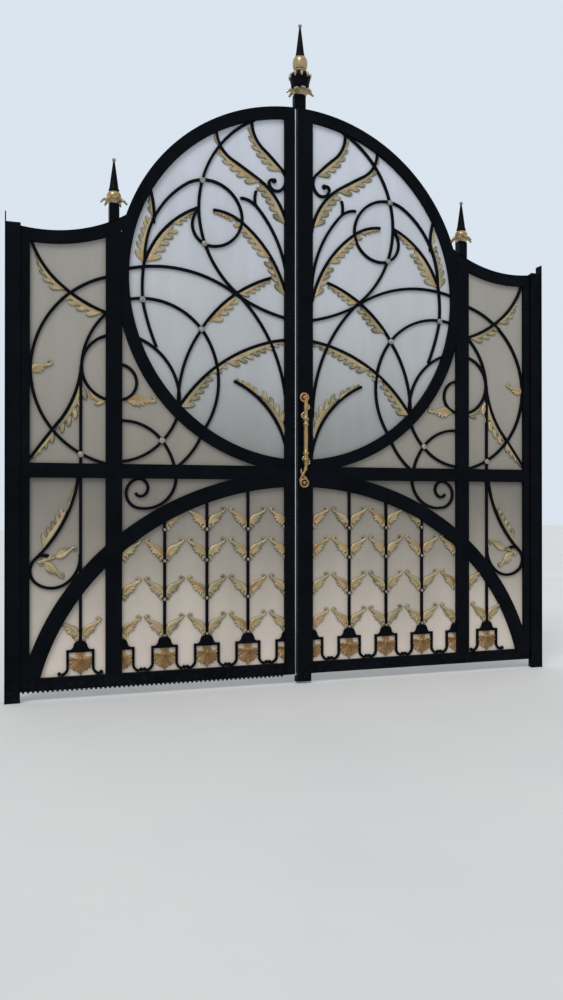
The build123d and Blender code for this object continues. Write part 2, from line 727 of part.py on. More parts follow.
def wall_post():
    """A fixed post on the +X side with its wall plate and stop, drilled for the wall anchors."""
    outline = box2(wall_post_in, wall_post_out, 0, wall_post_top)
    post = plate(outline, wall_post_front, back_y)
    lap = box2(leaf_reach - stop_lap, wall_post_in, 0, wall_post_top)
    post += plate(lap, wall_post_front, wall_post_front + stop_thickness)
    middle_y = (wall_post_front + back_y) / 2
    backing = box2(wall_post_out, wall_face, 0, wall_post_top + wall_plate_rise)
    post += plate(backing, middle_y - wall_plate_depth / 2, middle_y + wall_plate_depth / 2)
    for z in anchor_heights:
        hole = Pos(wall_post_out, middle_y, z) * Rot(0, 90, 0)
        post -= hole * Cylinder(anchor_hole_radius, 4 * wall_post_face)
    return post


def post_hinges():
    """The post's half of each hinge: strap, lower barrel and pin."""
    halves = []
    stand = (Align.CENTER, Align.CENTER, Align.MIN)
    reach = barrel_radius + barrel_stand_off - strap_thickness / 2
    for z in hinge_heights:
        barrel = Pos(0, 0, -barrel_height) * Cylinder(barrel_radius, barrel_height, align=stand)
        pin = Cylinder(pin_radius, barrel_height - pin_shortfall, align=stand)
        strap = Pos(strap_length / 2, -reach, -barrel_height / 2) * Box(
            strap_length, strap_thickness, barrel_height)
        halves.append(Pos(hinge_x, hinge_y, z) * (barrel + pin + strap))
    return Compound(halves)


def central_finial():
    """The tall spire on the right meeting stile."""
    left = right_leaf_edge - block_past_edge
    right = left + block_face
    x = (left + right) / 2 + spire_shift
    block = plate(polygon([(left, block_top), (right, block_top), (right, block_bottom),
                           (left + block_bevel, block_bottom), (left, block_bottom + block_bevel)]),
                  front_y, back_y)
    cup_low = block_top + 48
    cup_high = cup_low + 132
    ball_z = cup_high + 26 + ball_radius
    cone_z = ball_z + ball_radius * 0.84
    tip_z = block_top + spire_height
    tip = ball_radius * 0.27
    neck = cone_radius
    spire = turned(
        Polyline((0, block_top - 10), (neck, block_top - 10), (neck + 6, cup_low - 4), (neck + 20, cup_low)),
        ThreePointArc((neck + 20, cup_low), (cup_radius, cup_low + 74), (cup_radius * 0.62, cup_high)),
        Polyline((cup_radius * 0.62, cup_high), (neck, cup_high + 6), (neck, ball_z - ball_radius * 0.78)),
        ThreePointArc((neck, ball_z - ball_radius * 0.78), (ball_radius, ball_z), (cone_radius, cone_z)),
        Polyline((cone_radius, cone_z), (tip * 0.6, tip_z - 2 * tip)),
        ThreePointArc((tip * 0.6, tip_z - 2 * tip), (tip, tip_z - tip), (tip * 0.6, tip_z - 0.2 * tip)),
        Polyline((tip * 0.6, tip_z - 0.2 * tip), (0, tip_z), (0, block_top - 10)))
    leaves = crown(crown_radius, neck, block_top + 4, block_top + 50)
    saddle = box2(right_leaf_edge, right, ring_centre_z, block_bottom)
    saddle -= disc(0, ring_centre_z, ring_outer_radius)
    return block + Pos(x, 0, 0) * (spire + leaves) + plate(saddle, front_y, back_y)


def handle():
    """The long pull handle on the right meeting stile: turned bar between two eyes on posts."""
    x = right_leaf_edge + handle_inset
    y = front_y - handle_proud + handle_bar_radius
    r = handle_bar_radius
    low = handle_low_z
    high = handle_high_z
    span = high - low
    shape = [(0.0, 0.7), (0.07, 0.75), (0.10, 1.25), (0.13, 0.8), (0.20, 0.95), (0.235, 1.35),
             (0.27, 0.9), (0.50, 1.05), (0.73, 0.9), (0.765, 1.35), (0.80, 0.95), (0.87, 0.8),
             (0.90, 1.25), (0.93, 0.75), (1.0, 0.7)]
    side = [(r * wide, low + span * share) for share, wide in shape]
    bar = Pos(x, y, 0) * turned(Polyline((0, low), *side, (0, high), close=True))
    for z in (low, high):
        turn = Pos(x, y, z) * Rot(90, 0, 0)
        bar += turn * (Cylinder(handle_eye_radius, r) - Cylinder(handle_eye_radius - 9, r))
        bar += turn * Cylinder(handle_eye_radius - 6, r / 2)
        bar += Pos(x, y - r / 2, z) * Sphere(handle_eye_ball)
        bar += Pos(x, (y + front_y) / 2, z) * Rot(90, 0, 0) * Cylinder(handle_post_radius, front_y - y)
    return bar


def foot_block():
    """The stop block under the right meeting stile."""
    x0 = right_leaf_edge - foot_block_past_edge
    x1 = x0 + foot_block_face
    return plate(polygon([
        (x0 + foot_block_bevel, leaf_bottom), (x1, leaf_bottom), (x1, foot_block_bottom),
        (x0, foot_block_bottom), (x0, leaf_bottom - foot_block_bevel)]), front_y, back_y)


def left_of(solid):
    """The same piece on the left leaf."""
    return mirror(solid, about=Plane.YZ)


parts = {}
for name, solid in Leaf("right", right_leaf_edge, right_meeting_face).build().items():
    parts["right_" + name] = solid
for name, solid in Leaf("left", left_leaf_edge, left_meeting_face).build().items():
    parts["left_" + name] = left_of(solid)
parts["right_post"] = wall_post()
parts["left_post"] = left_of(wall_post())
parts["right_post_hinges"] = post_hinges()
parts["left_post_hinges"] = left_of(post_hinges())
parts["central_finial"] = central_finial()
parts["handle"] = handle()
parts["foot_block"] = foot_block()

os.makedirs("parts", exist_ok=True)
for name, solid in parts.items():
    export_step(Pos(origin_x, 0, 0) * solid, f"parts/{name}.step")
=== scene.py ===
import math
import random

import bmesh
import bpy
import numpy as np
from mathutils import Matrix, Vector


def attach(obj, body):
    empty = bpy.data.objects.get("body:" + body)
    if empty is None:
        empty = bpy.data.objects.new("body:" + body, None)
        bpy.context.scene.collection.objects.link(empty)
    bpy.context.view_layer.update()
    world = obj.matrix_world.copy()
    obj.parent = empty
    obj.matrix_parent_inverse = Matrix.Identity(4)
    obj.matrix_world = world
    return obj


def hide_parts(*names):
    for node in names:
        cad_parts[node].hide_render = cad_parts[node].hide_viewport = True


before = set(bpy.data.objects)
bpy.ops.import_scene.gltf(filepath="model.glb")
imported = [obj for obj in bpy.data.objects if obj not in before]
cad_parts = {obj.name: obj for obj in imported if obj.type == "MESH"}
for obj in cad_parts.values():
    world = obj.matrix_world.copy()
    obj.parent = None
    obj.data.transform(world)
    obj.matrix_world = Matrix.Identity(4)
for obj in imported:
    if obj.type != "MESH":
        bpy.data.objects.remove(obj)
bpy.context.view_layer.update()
random.seed(7)

# The gate's pieces are drawn here in millimetres about the gate's middle, on the +X side, with
# Z from the ground. Each piece is then mirrored if it is on the left leaf, and set in the frame.
MM = 0.001
GATE_X = 2.0335

# The frame's sizes that the ornament is seated on
SHEET_FRONT = 2.0
BAR_FRONT = -14.0
FRONT = -25.0
RIGHT_EDGE = -20.0
RING_Z = 2914.0
RING_IN = 1260.0
RING_OUT = 1348.0
POST_IN = 1306.0
POST_OUT = 1418.0
STILE_IN = 1920.0
MID_RAIL_TOP = 1604.0
SIDE_SQUEEZE = 1485.0 / 1489.0
ARCH_HALF = 1905.0
ARCH_Z = -250.0
ARCH_RISE = 1703.0
TOP_RAIL_X = 1830.0
TOP_RAIL_Z = 4209.0
TOP_RAIL_RADIUS = 1032.0
TOP_RAIL_BAND = 88.0
FLOOR_RAIL_TOP = 155.0
MEETING_INNER = {"right": 100.0, "left": 120.0}
TUCK = 12.0

# Gilded half leaves along the bars
BAR_EDGE = 9.4
LEAF_PLANE = -2.5
LEAF_UNDER = 4.0
STATIONS = 11

# Row of bars under the arch
UNIT_X = [93.0 + k * 304.75 for k in range(5)]
CAP_TOP = 389.0
ROWS = (1145.0, 925.0, 655.0, CAP_TOP)
FOOT_TOP = 315.0
SIDE_BAR_X = 1586.0

# Bars that carry fronds: end, point passed, end, and so on, each a chain of arcs
SPINES = {
    "frond_1": [(367, 4130), (346, 4012), (284, 3928), (215, 3868), (150, 3802), (108, 3712),
                (136, 3650), (190, 3630), (233, 3668), (221, 3707), (195, 3702)],
    "frond_2": [(634, 4028), (608, 3914), (523, 3822), (418, 3762), (300, 3690), (171, 3556),
                (96, 3350)],
    "frond_3": [(657, 3439), (560, 3426), (446, 3372), (254, 3183), (98, 2830)],
    "frond_4": [(772, 3442), (983, 3298), (1152, 3017)],
    "frond_5": [(1108, 3520), (1087, 3415), (1090, 3300), (1127, 3170), (1152, 3010)],
    "frond_6": [(224, 2985), (512, 2832), (744, 2577)],
    "frond_7": [(92, 2540), (529, 2386), (923, 1985)],
    "frond_8": [(502, 2216), (246, 2024), (92, 1670)],
    "corner": [(1926, 3150), (1861, 2991), (1733, 2833), (1578, 2722), (1404, 2646)],
    "side": [(1400, 2658), (1533, 2476), (1580, 2300), (1622, 2092), (1710, 1915),
             (1804, 1793), (1945, 1596)],
    "small_arc": [(1404, 2492), (1580, 2272), (1404, 2046)],
    "low_loop": [(1600, 1525), (1697, 1206), (1882, 957), (1917, 880), (1887, 800),
                 (1789, 757), (1697, 776), (1616, 858), (1590, 982)],
}

# The half leaves on each bar: its side of the bar, and for each leaf in turn the shares of the
# bar's length at its tip and its root, how far it reaches from the bar there, and its claws
FRONDS = {
    "frond_1": (1, [(0.06, 0.55, 30, 77, 6)]),
    "frond_2": (1, [(0.03, 0.13, 10, 26, 2), (0.15, 0.55, 38, 79, 5), (0.55, 0.95, 62, 82, 5)]),
    "frond_3": (1, [(0.0, 0.20, 24, 40, 5), (0.20, 0.62, 52, 72, 6), (0.62, 0.95, 62, 62, 4)]),
    "frond_4": (-1, [(0.05, 0.38, 24, 52, 4), (0.38, 0.98, 74, 94, 5)]),
    "frond_5": (1, [(0.02, 0.33, 18, 40, 3), (0.33, 0.99, 52, 72, 6)]),
    "frond_6": (-1, [(0.01, 0.42, 28, 62, 5), (0.46, 0.88, 56, 82, 4)]),
    "frond_7": (-1, [(0.01, 0.50, 30, 84, 8), (0.50, 0.63, 44, 58, 2), (0.64, 0.97, 50, 84, 5)]),
    "frond_8": (-1, [(0.01, 0.29, 24, 46, 4), (0.29, 0.80, 62, 88, 5)]),
    "corner": (1, [(0.18, 0.57, 14, 66, 5), (0.58, 0.95, 58, 72, 4)]),
    "side": (-1, [(0.96, 0.76, 18, 52, 4), (0.75, 0.45, 58, 84, 5)]),
    "small_arc": (1, [(0.76, 0.99, 12, 66, 3)]),
    "low_loop": (1, [(0.05, 0.20, 12, 28, 3), (0.20, 0.44, 50, 76, 5)]),
}

# One claw of a half leaf: steps from the bar outwards, leaning to the tip, and its half widths
CLAW = [(0.90, 0.12), (0.80, 0.44), (0.62, 0.72), (0.36, 0.91), (0.05, 0.97)]
CLAW_WIDTH = [0.41, 0.36, 0.30, 0.25, 0.21]
SECOND_CLAW = [(0.98, 0.36), (0.88, 0.58), (0.72, 0.76), (0.54, 0.86)]
SECOND_WIDTH = [0.22, 0.20, 0.17, 0.14]
LAST_CLAW = [(1.78, 0.02), (1.36, 0.20), (0.98, 0.48), (0.62, 0.78), (0.24, 0.96)]
LAST_WIDTH = [0.10, 0.28, 0.38, 0.35, 0.27]

# How many steps longer a half leaf is than its count of claws, and its band's share of its reach
TAIL = 0.85
BAND_SHARE = 0.44

# One gilded leaf from its root along its own length: spine with its curled tip, then feathers
LEAF_SPINE = [(-4, -2), (24, 11), (60, 13), (98, 4), (126, -3), (147, -6), (158, 3), (150, 19), (132, 25)]
LEAF_SPINE_WIDTH = [8, 17, 18, 13, 10, 10.5, 11, 11, 10]
LEAF_FEATHERS = [
    ([(-3, -3), (20, -9), (36, -22), (41, -36)], [8, 13, 13, 9]),
    ([(4, 1), (36, -7), (60, -25), (68, -40)], [9, 15, 14, 9]),
    ([(15, 5), (54, 0), (80, -16), (93, -30)], [9, 15, 14, 9]),
    ([(34, 8), (76, 3), (104, -9), (116, -19)], [8, 12, 11, 7]),
]
LEAF_ANGLE = 40.0
LEAF_ROOT = (6, 46)

# What joins a leaf of a pair to its collar: a sheath along the bar and two small curls
SHEATH = [
    ([(8, 62), (5, 42), (5, 20), (9, 2)], [8, 8.5, 8, 7]),
    ([(6, 44), (22, 45), (35, 37), (37, 25), (29, 21)], [6, 8, 9.5, 9, 7]),
    ([(5, 24), (16, 21), (22, 11), (18, 1), (10, -1)], [6, 7.5, 8.5, 8, 6.5]),
]

# Leaves that stand alone, as root, angle, size, side of the curl and tone, then the small blades
# that join the loop's two leaves to its bar
SINGLE_LEAVES = [((1920, 2228), 160, 0.98, -1, 0.7), ((1268, 2052), 180, 1.24, -1, 0.7)]
LOOP_LEAVES = [((1744, 966), 152, 0.90, 1, 0.6), ((1818, 928), 222, 0.97, -1, 0.6)]
LOOP_STALKS = [
    ([(1872, 936), (1838, 942), (1796, 952), (1738, 972)], [7, 10, 11, 12]),
    ([(1868, 936), (1844, 936), (1812, 926)], [6, 10, 11]),
    ([(1806, 950), (1792, 966), (1776, 980)], [8, 10, 8]),
    ([(1838, 942), (1826, 956), (1812, 966)], [7, 9, 7]),
    ([(1856, 934), (1850, 918), (1838, 908)], [7, 9, 7]),
]

# One half of a palmette: each lobe's angle, reach and width, then the shape of a lobe
PALMETTE_HUB = 55.0
PALMETTE_LOBES = [(8, 82, 13), (-16, 84, 14), (-38, 86, 14), (-57, 85, 13), (-74, 84, 12)]
LOBE_SHARES = (0.1, 0.45, 0.75, 1)
LOBE_WIDTHS = (0.45, 0.8, 1.02, 1.04, 0.85)
LOBE_TONE = 1.12
PALMETTE_BOSS = [(0, 7), (4, 6.4), (8, 4), (9.5, 0)]

# Rosettes where bars cross, and the ball ends of curls as X, Z and radius
GEM = [(0.0, 9.0), (6.0, 8.6), (10.0, 6.0), (16.0, 6.6), (20.0, 4.0), (22.0, 0.0)]
CROSSING_GEMS = [(737, 3643), (722, 3190), (744, 2575), (1165, 2757), (1026, 1773)]
SIDE_GEM = (1586, 1666)
SCROLL_BEADS = [(197, 3704, 19), (338, 3606, 11.5), (447, 3548, 11.5)]

# A crown's leaves: how many, and the half widths at shares of the length
CROWN_LEAVES = 8
CROWN_STATIONS = 13
CROWN_SHARES = [0, 0.3, 0.55, 0.78, 1]
CROWN_HALVES = [0.75, 1.0, 0.96, 0.45, 0.10]

# The spires' turned shapes, as radii and heights
STEM_COLLAR = [(30, -10), (34, -4), (36, 2), (30, 8), (26, 12)]
CUP_PROFILE = [(50, -3), (62, 0), (66, 8), (68, 30), (73, 58), (78, 76), (80, 86), (77, 93),
               (72, 103), (62, 117), (48, 127), (36, 131), (33, 140)]
LIP_PROFILE = [(34, 128), (42, 131), (44, 136), (42, 141), (33, 144)]
BALL_PROFILE = [(38, -48), (48, -41), (53, -28), (55, -12), (55.5, 4), (54, 20), (50, 33), (43, 43),
                (34, 49)]
DROP_PROFILE = [(0.5, -22), (6.0, -16), (10.0, -5), (11.0, 5), (8.4, 13), (4.0, 17), (0.3, 18.5)]
DROPS = 10

# The central spire's block
BLOCK_OVERHANG = 25.0
BLOCK_WIDTH = 89.0
BLOCK_HEIGHT = 90.0
BLOCK_CUT = 15.0

# The pull handle: its turned bar as radii and heights, its eyes' heights, and its curls as side,
# reach, height and size. Its strands are steps from the bar in X and Y with heights, then radii:
# one from the bar's top to the upper eye, and two where the lower end splits
HANDLE_BAR = [(9, 1572), (12, 1590), (12.5, 1618), (13, 1634), (17, 1642), (23, 1650), (26, 1657),
              (23, 1664), (17, 1669), (16.5, 1682), (21, 1690), (26, 1697), (22, 1704), (16, 1711),
              (15.5, 1760), (17, 1805), (15.5, 1850), (15, 1895), (20, 1904), (25, 1911), (21, 1918),
              (16, 1926), (16.5, 1936), (22, 1943), (26.5, 1950), (22, 1957), (16, 1966), (14.5, 1990),
              (15, 2018), (17, 2036), (16, 2056), (13, 2072), (9, 2086)]
HANDLE_EYES = (1481.0, 2110.0)
HANDLE_CURLS = [(-1, 22, 1976, 12), (1, 15, 2040, 12), (1, 17, 1634, 12), (-1, 17, 1660, 9)]
HANDLE_NECK = ([(-2, 0, 2054), (3, -2, 2078), (0, 0, 2104), (3, 0, 2128)], [12, 13, 13, 9])
HANDLE_SPLIT = [
    ([(-2, 0, 1596), (-12, -5, 1566), (-32, -5, 1530), (-44, 0, 1500), (-40, 0, 1476)], [11, 10, 10, 9, 6]),
    ([(-34, 2, 1584), (-38, -4, 1564), (-24, 4, 1538), (4, 3, 1512), (10, 0, 1488)], [4, 8, 10, 10, 7]),
]

# Tones: gold from olive painted shade in the recesses to a pale painted highlight on the crests and on to
# brown, and each sheet's colour with painted light and shade by height in metres
GOLD_TONES = [(0.0, (0.065, 0.055, 0.032)), (0.28, (0.26, 0.222, 0.138)), (0.58, (0.50, 0.405, 0.268)),
              (0.8, (0.43, 0.285, 0.140)), (1.0, (0.25, 0.138, 0.056))]
RING_SHEET_TONES = [(1.6, (0.26, 0.265, 0.262)), (2.05, (0.37, 0.385, 0.39)), (2.9, (0.53, 0.555, 0.60)),
                    (3.4, (0.56, 0.59, 0.66)), (4.1, (0.64, 0.68, 0.78))]
UPPER_SHEET_TONES = [(1.6, (0.285, 0.265, 0.23)), (2.4, (0.335, 0.315, 0.28)), (3.3, (0.355, 0.34, 0.315))]
LOWER_SHEET_TONES = [(0.15, (0.70, 0.615, 0.545)), (0.6, (0.53, 0.475, 0.42)), (1.0, (0.315, 0.285, 0.25)),
                     (1.5, (0.19, 0.18, 0.16))]

# The camera's place in metres from the gate's middle, its turn and tilt in degrees, and its lens
VIEW_PLACE = (-2.0964, -5.9532, 1.325)
VIEW_YAW = 18.205
VIEW_PITCH = 0.2794
VIEW_LENS = 30.6


def evenly(line, count):
    """Points at equal steps along a line."""
    steps = np.linalg.norm(np.diff(line, axis=0), axis=1)
    run = np.concatenate([[0.0], np.cumsum(steps)])
    want = np.linspace(0, run[-1], count)
    return np.column_stack([np.interp(want, run, line[:, k]) for k in range(line.shape[1])])


def smooth(points, count):
    """Evenly spaced points on a smooth curve through the given ones."""
    p = np.array(points, float)
    p = np.vstack([2 * p[0] - p[1], p, 2 * p[-1] - p[-2]])
    t = np.linspace(0, 1, 10, endpoint=False)[:, None]
    spans = []
    for i in range(1, len(p) - 2):
        a, b, c, d = p[i - 1:i + 3]
        spans.append(0.5 * (2 * b + (c - a) * t + (2 * a - 5 * b + 4 * c - d) * t ** 2
                            + (3 * b - a - 3 * c + d) * t ** 3))
    return evenly(np.vstack(spans + [p[-2][None]]), count)


def heading(line):
    """Unit directions along a line."""
    along = np.gradient(line, axis=0)
    return along / np.linalg.norm(along, axis=1)[:, None]


def arc(start, passed, end, count=24):
    """Points on the arc from start to end through a point."""
    (ax, az), (bx, bz), (cx, cz) = start, passed, end
    d = 2 * (ax * (bz - cz) + bx * (cz - az) + cx * (az - bz))
    a2, b2, c2 = ax * ax + az * az, bx * bx + bz * bz, cx * cx + cz * cz
    mx = (a2 * (bz - cz) + b2 * (cz - az) + c2 * (az - bz)) / d
    mz = (a2 * (cx - bx) + b2 * (ax - cx) + c2 * (bx - ax)) / d
    radius = math.hypot(ax - mx, az - mz)
    first, middle, last = (math.atan2(z - mz, x - mx) for x, z in (start, passed, end))
    sweep = (last - first) % (2 * math.pi)
    if (middle - first) % (2 * math.pi) > sweep:
        sweep -= 2 * math.pi
    turn = first + np.linspace(0, sweep, count)
    return np.column_stack([mx + radius * np.cos(turn), mz + radius * np.sin(turn)])


class Spine:
    """A bar's middle line, read by the share of its length."""

    def __init__(self, points, way):
        arcs = [arc(*points[i:i + 3]) for i in range(0, len(points) - 2, 2)]
        line = np.vstack([arcs[0]] + [run[1:] for run in arcs[1:]])
        self.line = evenly(line, 400)
        self.along = heading(self.line)
        self.length = float(np.linalg.norm(np.diff(line, axis=0), axis=1).sum())
        self.way = way

    def at(self, share, out):
        """The point at a share of the length, and so far out to the leaf's side."""
        place = min(max(share, 0.0), 1.0) * (len(self.line) - 1)
        k = min(int(place), len(self.line) - 2)
        mix = place - k
        spot = self.line[k] * (1 - mix) + self.line[k + 1] * mix
        ax, az = self.along[k]
        return (spot[0] - self.way * az * out, spot[1] + self.way * ax * out)


class Heap:
    """Vertices and faces gathered for one piece, with a tone for each vertex."""

    def __init__(self):
        self.points = []
        self.faces = []
        self.tones = []
        self.count = 0

    def add(self, points, faces, tones):
        """Adds a closed shell."""
        self.points.append(np.asarray(points, float))
        self.faces += [tuple(self.count + i for i in face) for face in faces]
        self.tones.append(np.broadcast_to(np.asarray(tones, float), len(points)))
        self.count += len(points)

    def tuck(self, rule):
        """Moves what passes a member's edge into the member."""
        self.points = [rule(points) for points in self.points]

    def take(self, other):
        """Adds another heap's shells."""
        self.points += other.points
        self.faces += [tuple(self.count + i for i in face) for face in other.faces]
        self.tones += other.tones
        self.count += other.count

    def piece(self, name, side, body, slot, material, crease=42.0):
        """The gathered shells as one object in the frame, riding on its body."""
        points = np.vstack(self.points)
        if side == "left":
            points = points * (-1, 1, 1)
        points = points * MM + (GATE_X, 0, 0)
        mesh = bpy.data.meshes.new(name)
        mesh.from_pydata(points.tolist(), [], self.faces)
        bm = bmesh.new()
        bm.from_mesh(mesh)
        bmesh.ops.recalc_face_normals(bm, faces=bm.faces)
        bm.to_mesh(mesh)
        bm.free()
        tone = mesh.attributes.new("tone", "FLOAT", "POINT")
        tone.data.foreach_set("value", np.concatenate(self.tones).astype(np.float32))
        mesh.polygons.foreach_set("use_smooth", [True] * len(mesh.polygons))
        mesh.set_sharp_from_angle(angle=math.radians(crease))
        mesh.materials.append(material)
        piece = bpy.data.objects.new(name, mesh)
        bpy.context.scene.collection.objects.link(piece)
        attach(piece, body)
        return piece


# Places across a leaf's crowned front and back along its flat rear, as shares of its half width,
# the vein's width, the painted highlight on the crest and the painted shade towards the far end, and where
# the end starts to round
ACROSS = np.array([-1.0, -0.9, -0.66, -0.36, -0.14, 0.0, 0.14, 0.36, 0.66, 0.9, 1.0])
UNDER = np.array([0.75, 0.0, -0.75])
VEIN_WIDTH = 0.15
CREST_HIGHLIGHT = 0.45
TIP_SHADE = 0.35
ROUND_FROM = 0.74


def loft(heap, centre, side, front, half, rise, under, vein, tone):
    """A leaf-like shell along a line: crowned in front with a vein, flat behind, round at its end."""
    count = len(centre)
    crown = (1 - np.abs(ACROSS) ** 2.4) ** 0.75 - vein * np.exp(-(ACROSS / VEIN_WIDTH) ** 2)
    top = (centre[:, None] + side[:, None] * (half[:, None] * ACROSS)[..., None]
           + front[:, None] * (rise[:, None] * crown)[..., None])
    base = (centre[:, None] + side[:, None] * (half[:, None] * UNDER)[..., None]
            - front[:, None] * under)
    rings = np.concatenate([top, base], axis=1)
    ridge = np.concatenate([crown, np.zeros(len(UNDER))])
    # Painted highlight on the crest; painted shade in the vein, at the edges, on the flat back and towards
    # the far end
    tones = tone + CREST_HIGHLIGHT * (ridge[None, :] - 0.5) - TIP_SHADE * np.linspace(0, 1, count)[:, None]
    heap.add(rings.reshape(-1, 3), ring_faces(count, rings.shape[1]), np.clip(tones, 0, 1).reshape(-1))


def blade(heap, path, widths, rise, vein=0.28, curl=0.0, tone=0.6, lift=0.0):
    """A crowned blade lying in front of the sheet, along a path drawn in X and Z."""
    line = smooth(path, STATIONS)
    u = np.linspace(0, 1, STATIONS)
    half = np.interp(u, np.linspace(0, 1, len(widths)), widths)
    end = np.sqrt(np.clip(1 - np.clip((u - ROUND_FROM) / (1 - ROUND_FROM), 0, 1) ** 2, 0.03, 1))
    along = heading(line)
    flat = np.zeros(STATIONS)
    centre = np.column_stack([line[:, 0], LEAF_PLANE - lift - curl * u ** 3, line[:, 1]])
    side = np.column_stack([-along[:, 1], flat, along[:, 0]])
    front = np.tile((0.0, -1.0, 0.0), (STATIONS, 1))
    loft(heap, centre, side, front, half * end, rise * (0.55 + 0.45 * end), LEAF_UNDER, vein,
         tone + random.uniform(-0.15, 0.15))


def half_leaf(heap, spine, tip, root, low, high, count):
    """An acanthus half leaf on a bar: a band along the bar, and claws that lean to the tip."""
    length = (root - tip) * spine.length
    step = length / (count + TAIL) / spine.length
    pitch = abs(length) / (count + TAIL)
    tone = random.uniform(0.42, 0.68)

    def reach(steps):
        return low + (high - low) * min(1.0, max(0.0, (steps + 0.2) / (0.75 * count)))

    def at(steps, out):
        return spine.at(tip + steps * step, out)

    def claw(k, shape, widths, rise):
        span = reach(k) - BAR_EDGE
        size = min(pitch, span * 1.1)
        path = [at(k + a, BAR_EDGE + span * out) for a, out in shape]
        blade(heap, path, [w * size for w in widths], rise, curl=3.0, tone=tone)

    claw(count - 1, LAST_CLAW, LAST_WIDTH, 8.0)
    for k in range(count - 2, -1, -1):
        claw(k, CLAW, CLAW_WIDTH, 7.5)
        if k % 2:
            claw(k, SECOND_CLAW, SECOND_WIDTH, 6.0)

    steps = np.linspace(0, count + TAIL - 0.08, STATIONS)
    fade = np.interp(steps, [0, 0.6, count - 0.5, count + TAIL], [0.7, 1.0, 1.0, 0.1])
    outs = np.array([reach(s) * BAND_SHARE for s in steps]) * fade
    middle = [at(s, BAR_EDGE - 1 + out / 2) for s, out in zip(steps[::-1], outs[::-1])]
    blade(heap, middle, outs[::-1] / 2 + 1.5, 9.5, vein=0.2, tone=tone - 0.05)


def gilded_leaf(heap, root, angle, size, flip, tone):
    """A plump leaf from its root along an angle, its tip curled to the smooth side."""
    c = math.cos(math.radians(angle)) * size
    s = math.sin(math.radians(angle)) * size

    def seat(points):
        return [(root[0] + u * c - flip * v * s, root[1] + u * s + flip * v * c) for u, v in points]

    for path, widths in LEAF_FEATHERS:
        blade(heap, seat(path), [w * size for w in widths], 7.0, vein=0.35, curl=2.5, tone=tone)
    blade(heap, seat(LEAF_SPINE), [w * size for w in LEAF_SPINE_WIDTH], 9.0, vein=0.18, tone=tone + 0.03,
          lift=1.0)


def leaf_of_pair(heap, x, z, way, tone):
    """One leaf that springs from a bar to the right or left of it, with its sheath and curls."""
    root = (x + way * LEAF_ROOT[0], z + LEAF_ROOT[1])
    angle = LEAF_ANGLE if way > 0 else 180 - LEAF_ANGLE
    for path, widths in SHEATH:
        blade(heap, [(x + way * u, z + v) for u, v in path], widths, 6.5, vein=0.2, tone=tone - 0.1)
    gilded_leaf(heap, root, angle, 1.0, way, tone)


def palmette(heap, x, top):
    """A fan of veined lobes hanging by its neck from the top bar of a foot frame."""
    hub = top - PALMETTE_HUB
    for angle, reach, width in PALMETTE_LOBES:
        for way in (-1, 1):
            out = (way * math.cos(math.radians(angle)), math.sin(math.radians(angle)))
            path = [(x + reach * share * out[0], hub + reach * share * out[1]) for share in LOBE_SHARES]
            blade(heap, path, [width * w for w in LOBE_WIDTHS], 8.0, vein=0.5, curl=4.0, tone=LOBE_TONE)
    blade(heap, [(x, hub - 8), (x, hub - 45), (x, hub - 74), (x, hub - 99)], [8, 15, 19, 15, 8], 9.0,
          vein=0.45, curl=4.0, tone=LOBE_TONE, lift=0.5)
    for way in (-1, 1):
        blade(heap, [(x + way * 22, top + 3), (x + way * 17, top - 18), (x + way * 28, top - 36),
                     (x + way * 47, top - 45)], [12, 12, 13, 9], 7.0, tone=0.95)
        blade(heap, [(x + way * 8, top + 3), (x + way * 10, hub + 20), (x + way * 20, hub - 8)],
              [9, 11, 7], 7.5, tone=1.0)
    blade(heap, [(x, top + 3), (x, hub + 24), (x, hub - 16)], [9, 10, 6], 9.0, tone=1.0)
    button(heap, x, hub + 12, LEAF_PLANE - 6, PALMETTE_BOSS, 16, 0.85)


def ring_faces(rings, count):
    """Faces of a shell of closed rings with a cap at each end."""
    faces = [(i * count + j, i * count + (j + 1) % count, (i + 1) * count + (j + 1) % count,
              (i + 1) * count + j) for i in range(rings - 1) for j in range(count)]
    faces.append(tuple(range(count)))
    faces.append(tuple((rings - 1) * count + j for j in range(count)))
    return faces


def lathe(heap, centre, profile, count, tone, axis="z", turn=0.0):
    """A shell turned about an upright or a forward axis, from radii and distances along it."""
    angles = math.radians(turn) + np.linspace(0, 2 * math.pi, count, endpoint=False)
    points = []
    for radius, along in profile:
        wide = max(radius, 0.05)
        for a in angles:
            u, v = wide * math.cos(a), wide * math.sin(a)
            points.append((u, v, along) if axis == "z" else (u, -along, v))
    heap.add(np.array(points) + centre, ring_faces(len(profile), count), tone)


def button(heap, x, z, y, profile, count, tone, turn=0.0):
    """A round or faceted boss standing forward from a depth."""
    whole = list(reversed(profile)) if profile[0][0] < profile[-1][0] else list(profile)
    lathe(heap, (x, y, z), [(whole[0][0] * 0.9, -1.5)] + whole, count, tone, axis="y", turn=turn)


def prism(heap, outline, y0, y1, tone=0.5):
    """An outline drawn in X and Z, made solid between two depths."""
    count = len(outline)
    points = [(x, y0, z) for x, z in outline] + [(x, y1, z) for x, z in outline]
    faces = [(j, (j + 1) % count, count + (j + 1) % count, count + j) for j in range(count)]
    heap.add(points, faces + [tuple(range(count)), tuple(range(count, 2 * count))], tone)


def tube(heap, path, radii, tone, count=10):
    """A round strand along a smooth path in space."""
    line = smooth(path, 5 * len(path))
    u = np.linspace(0, 1, len(line))
    radius = np.interp(u, np.linspace(0, 1, len(radii)), radii)
    along = heading(line)
    side = np.cross(along, (0.0, 1.0, 0.0))
    side /= np.linalg.norm(side, axis=1)[:, None]
    other = np.cross(along, side)
    a = np.linspace(0, 2 * math.pi, count, endpoint=False)
    rings = (line[:, None] + side[:, None] * (radius[:, None] * np.cos(a))[..., None]
             + other[:, None] * (radius[:, None] * np.sin(a))[..., None])
    heap.add(rings.reshape(-1, 3), ring_faces(len(line), count), tone)


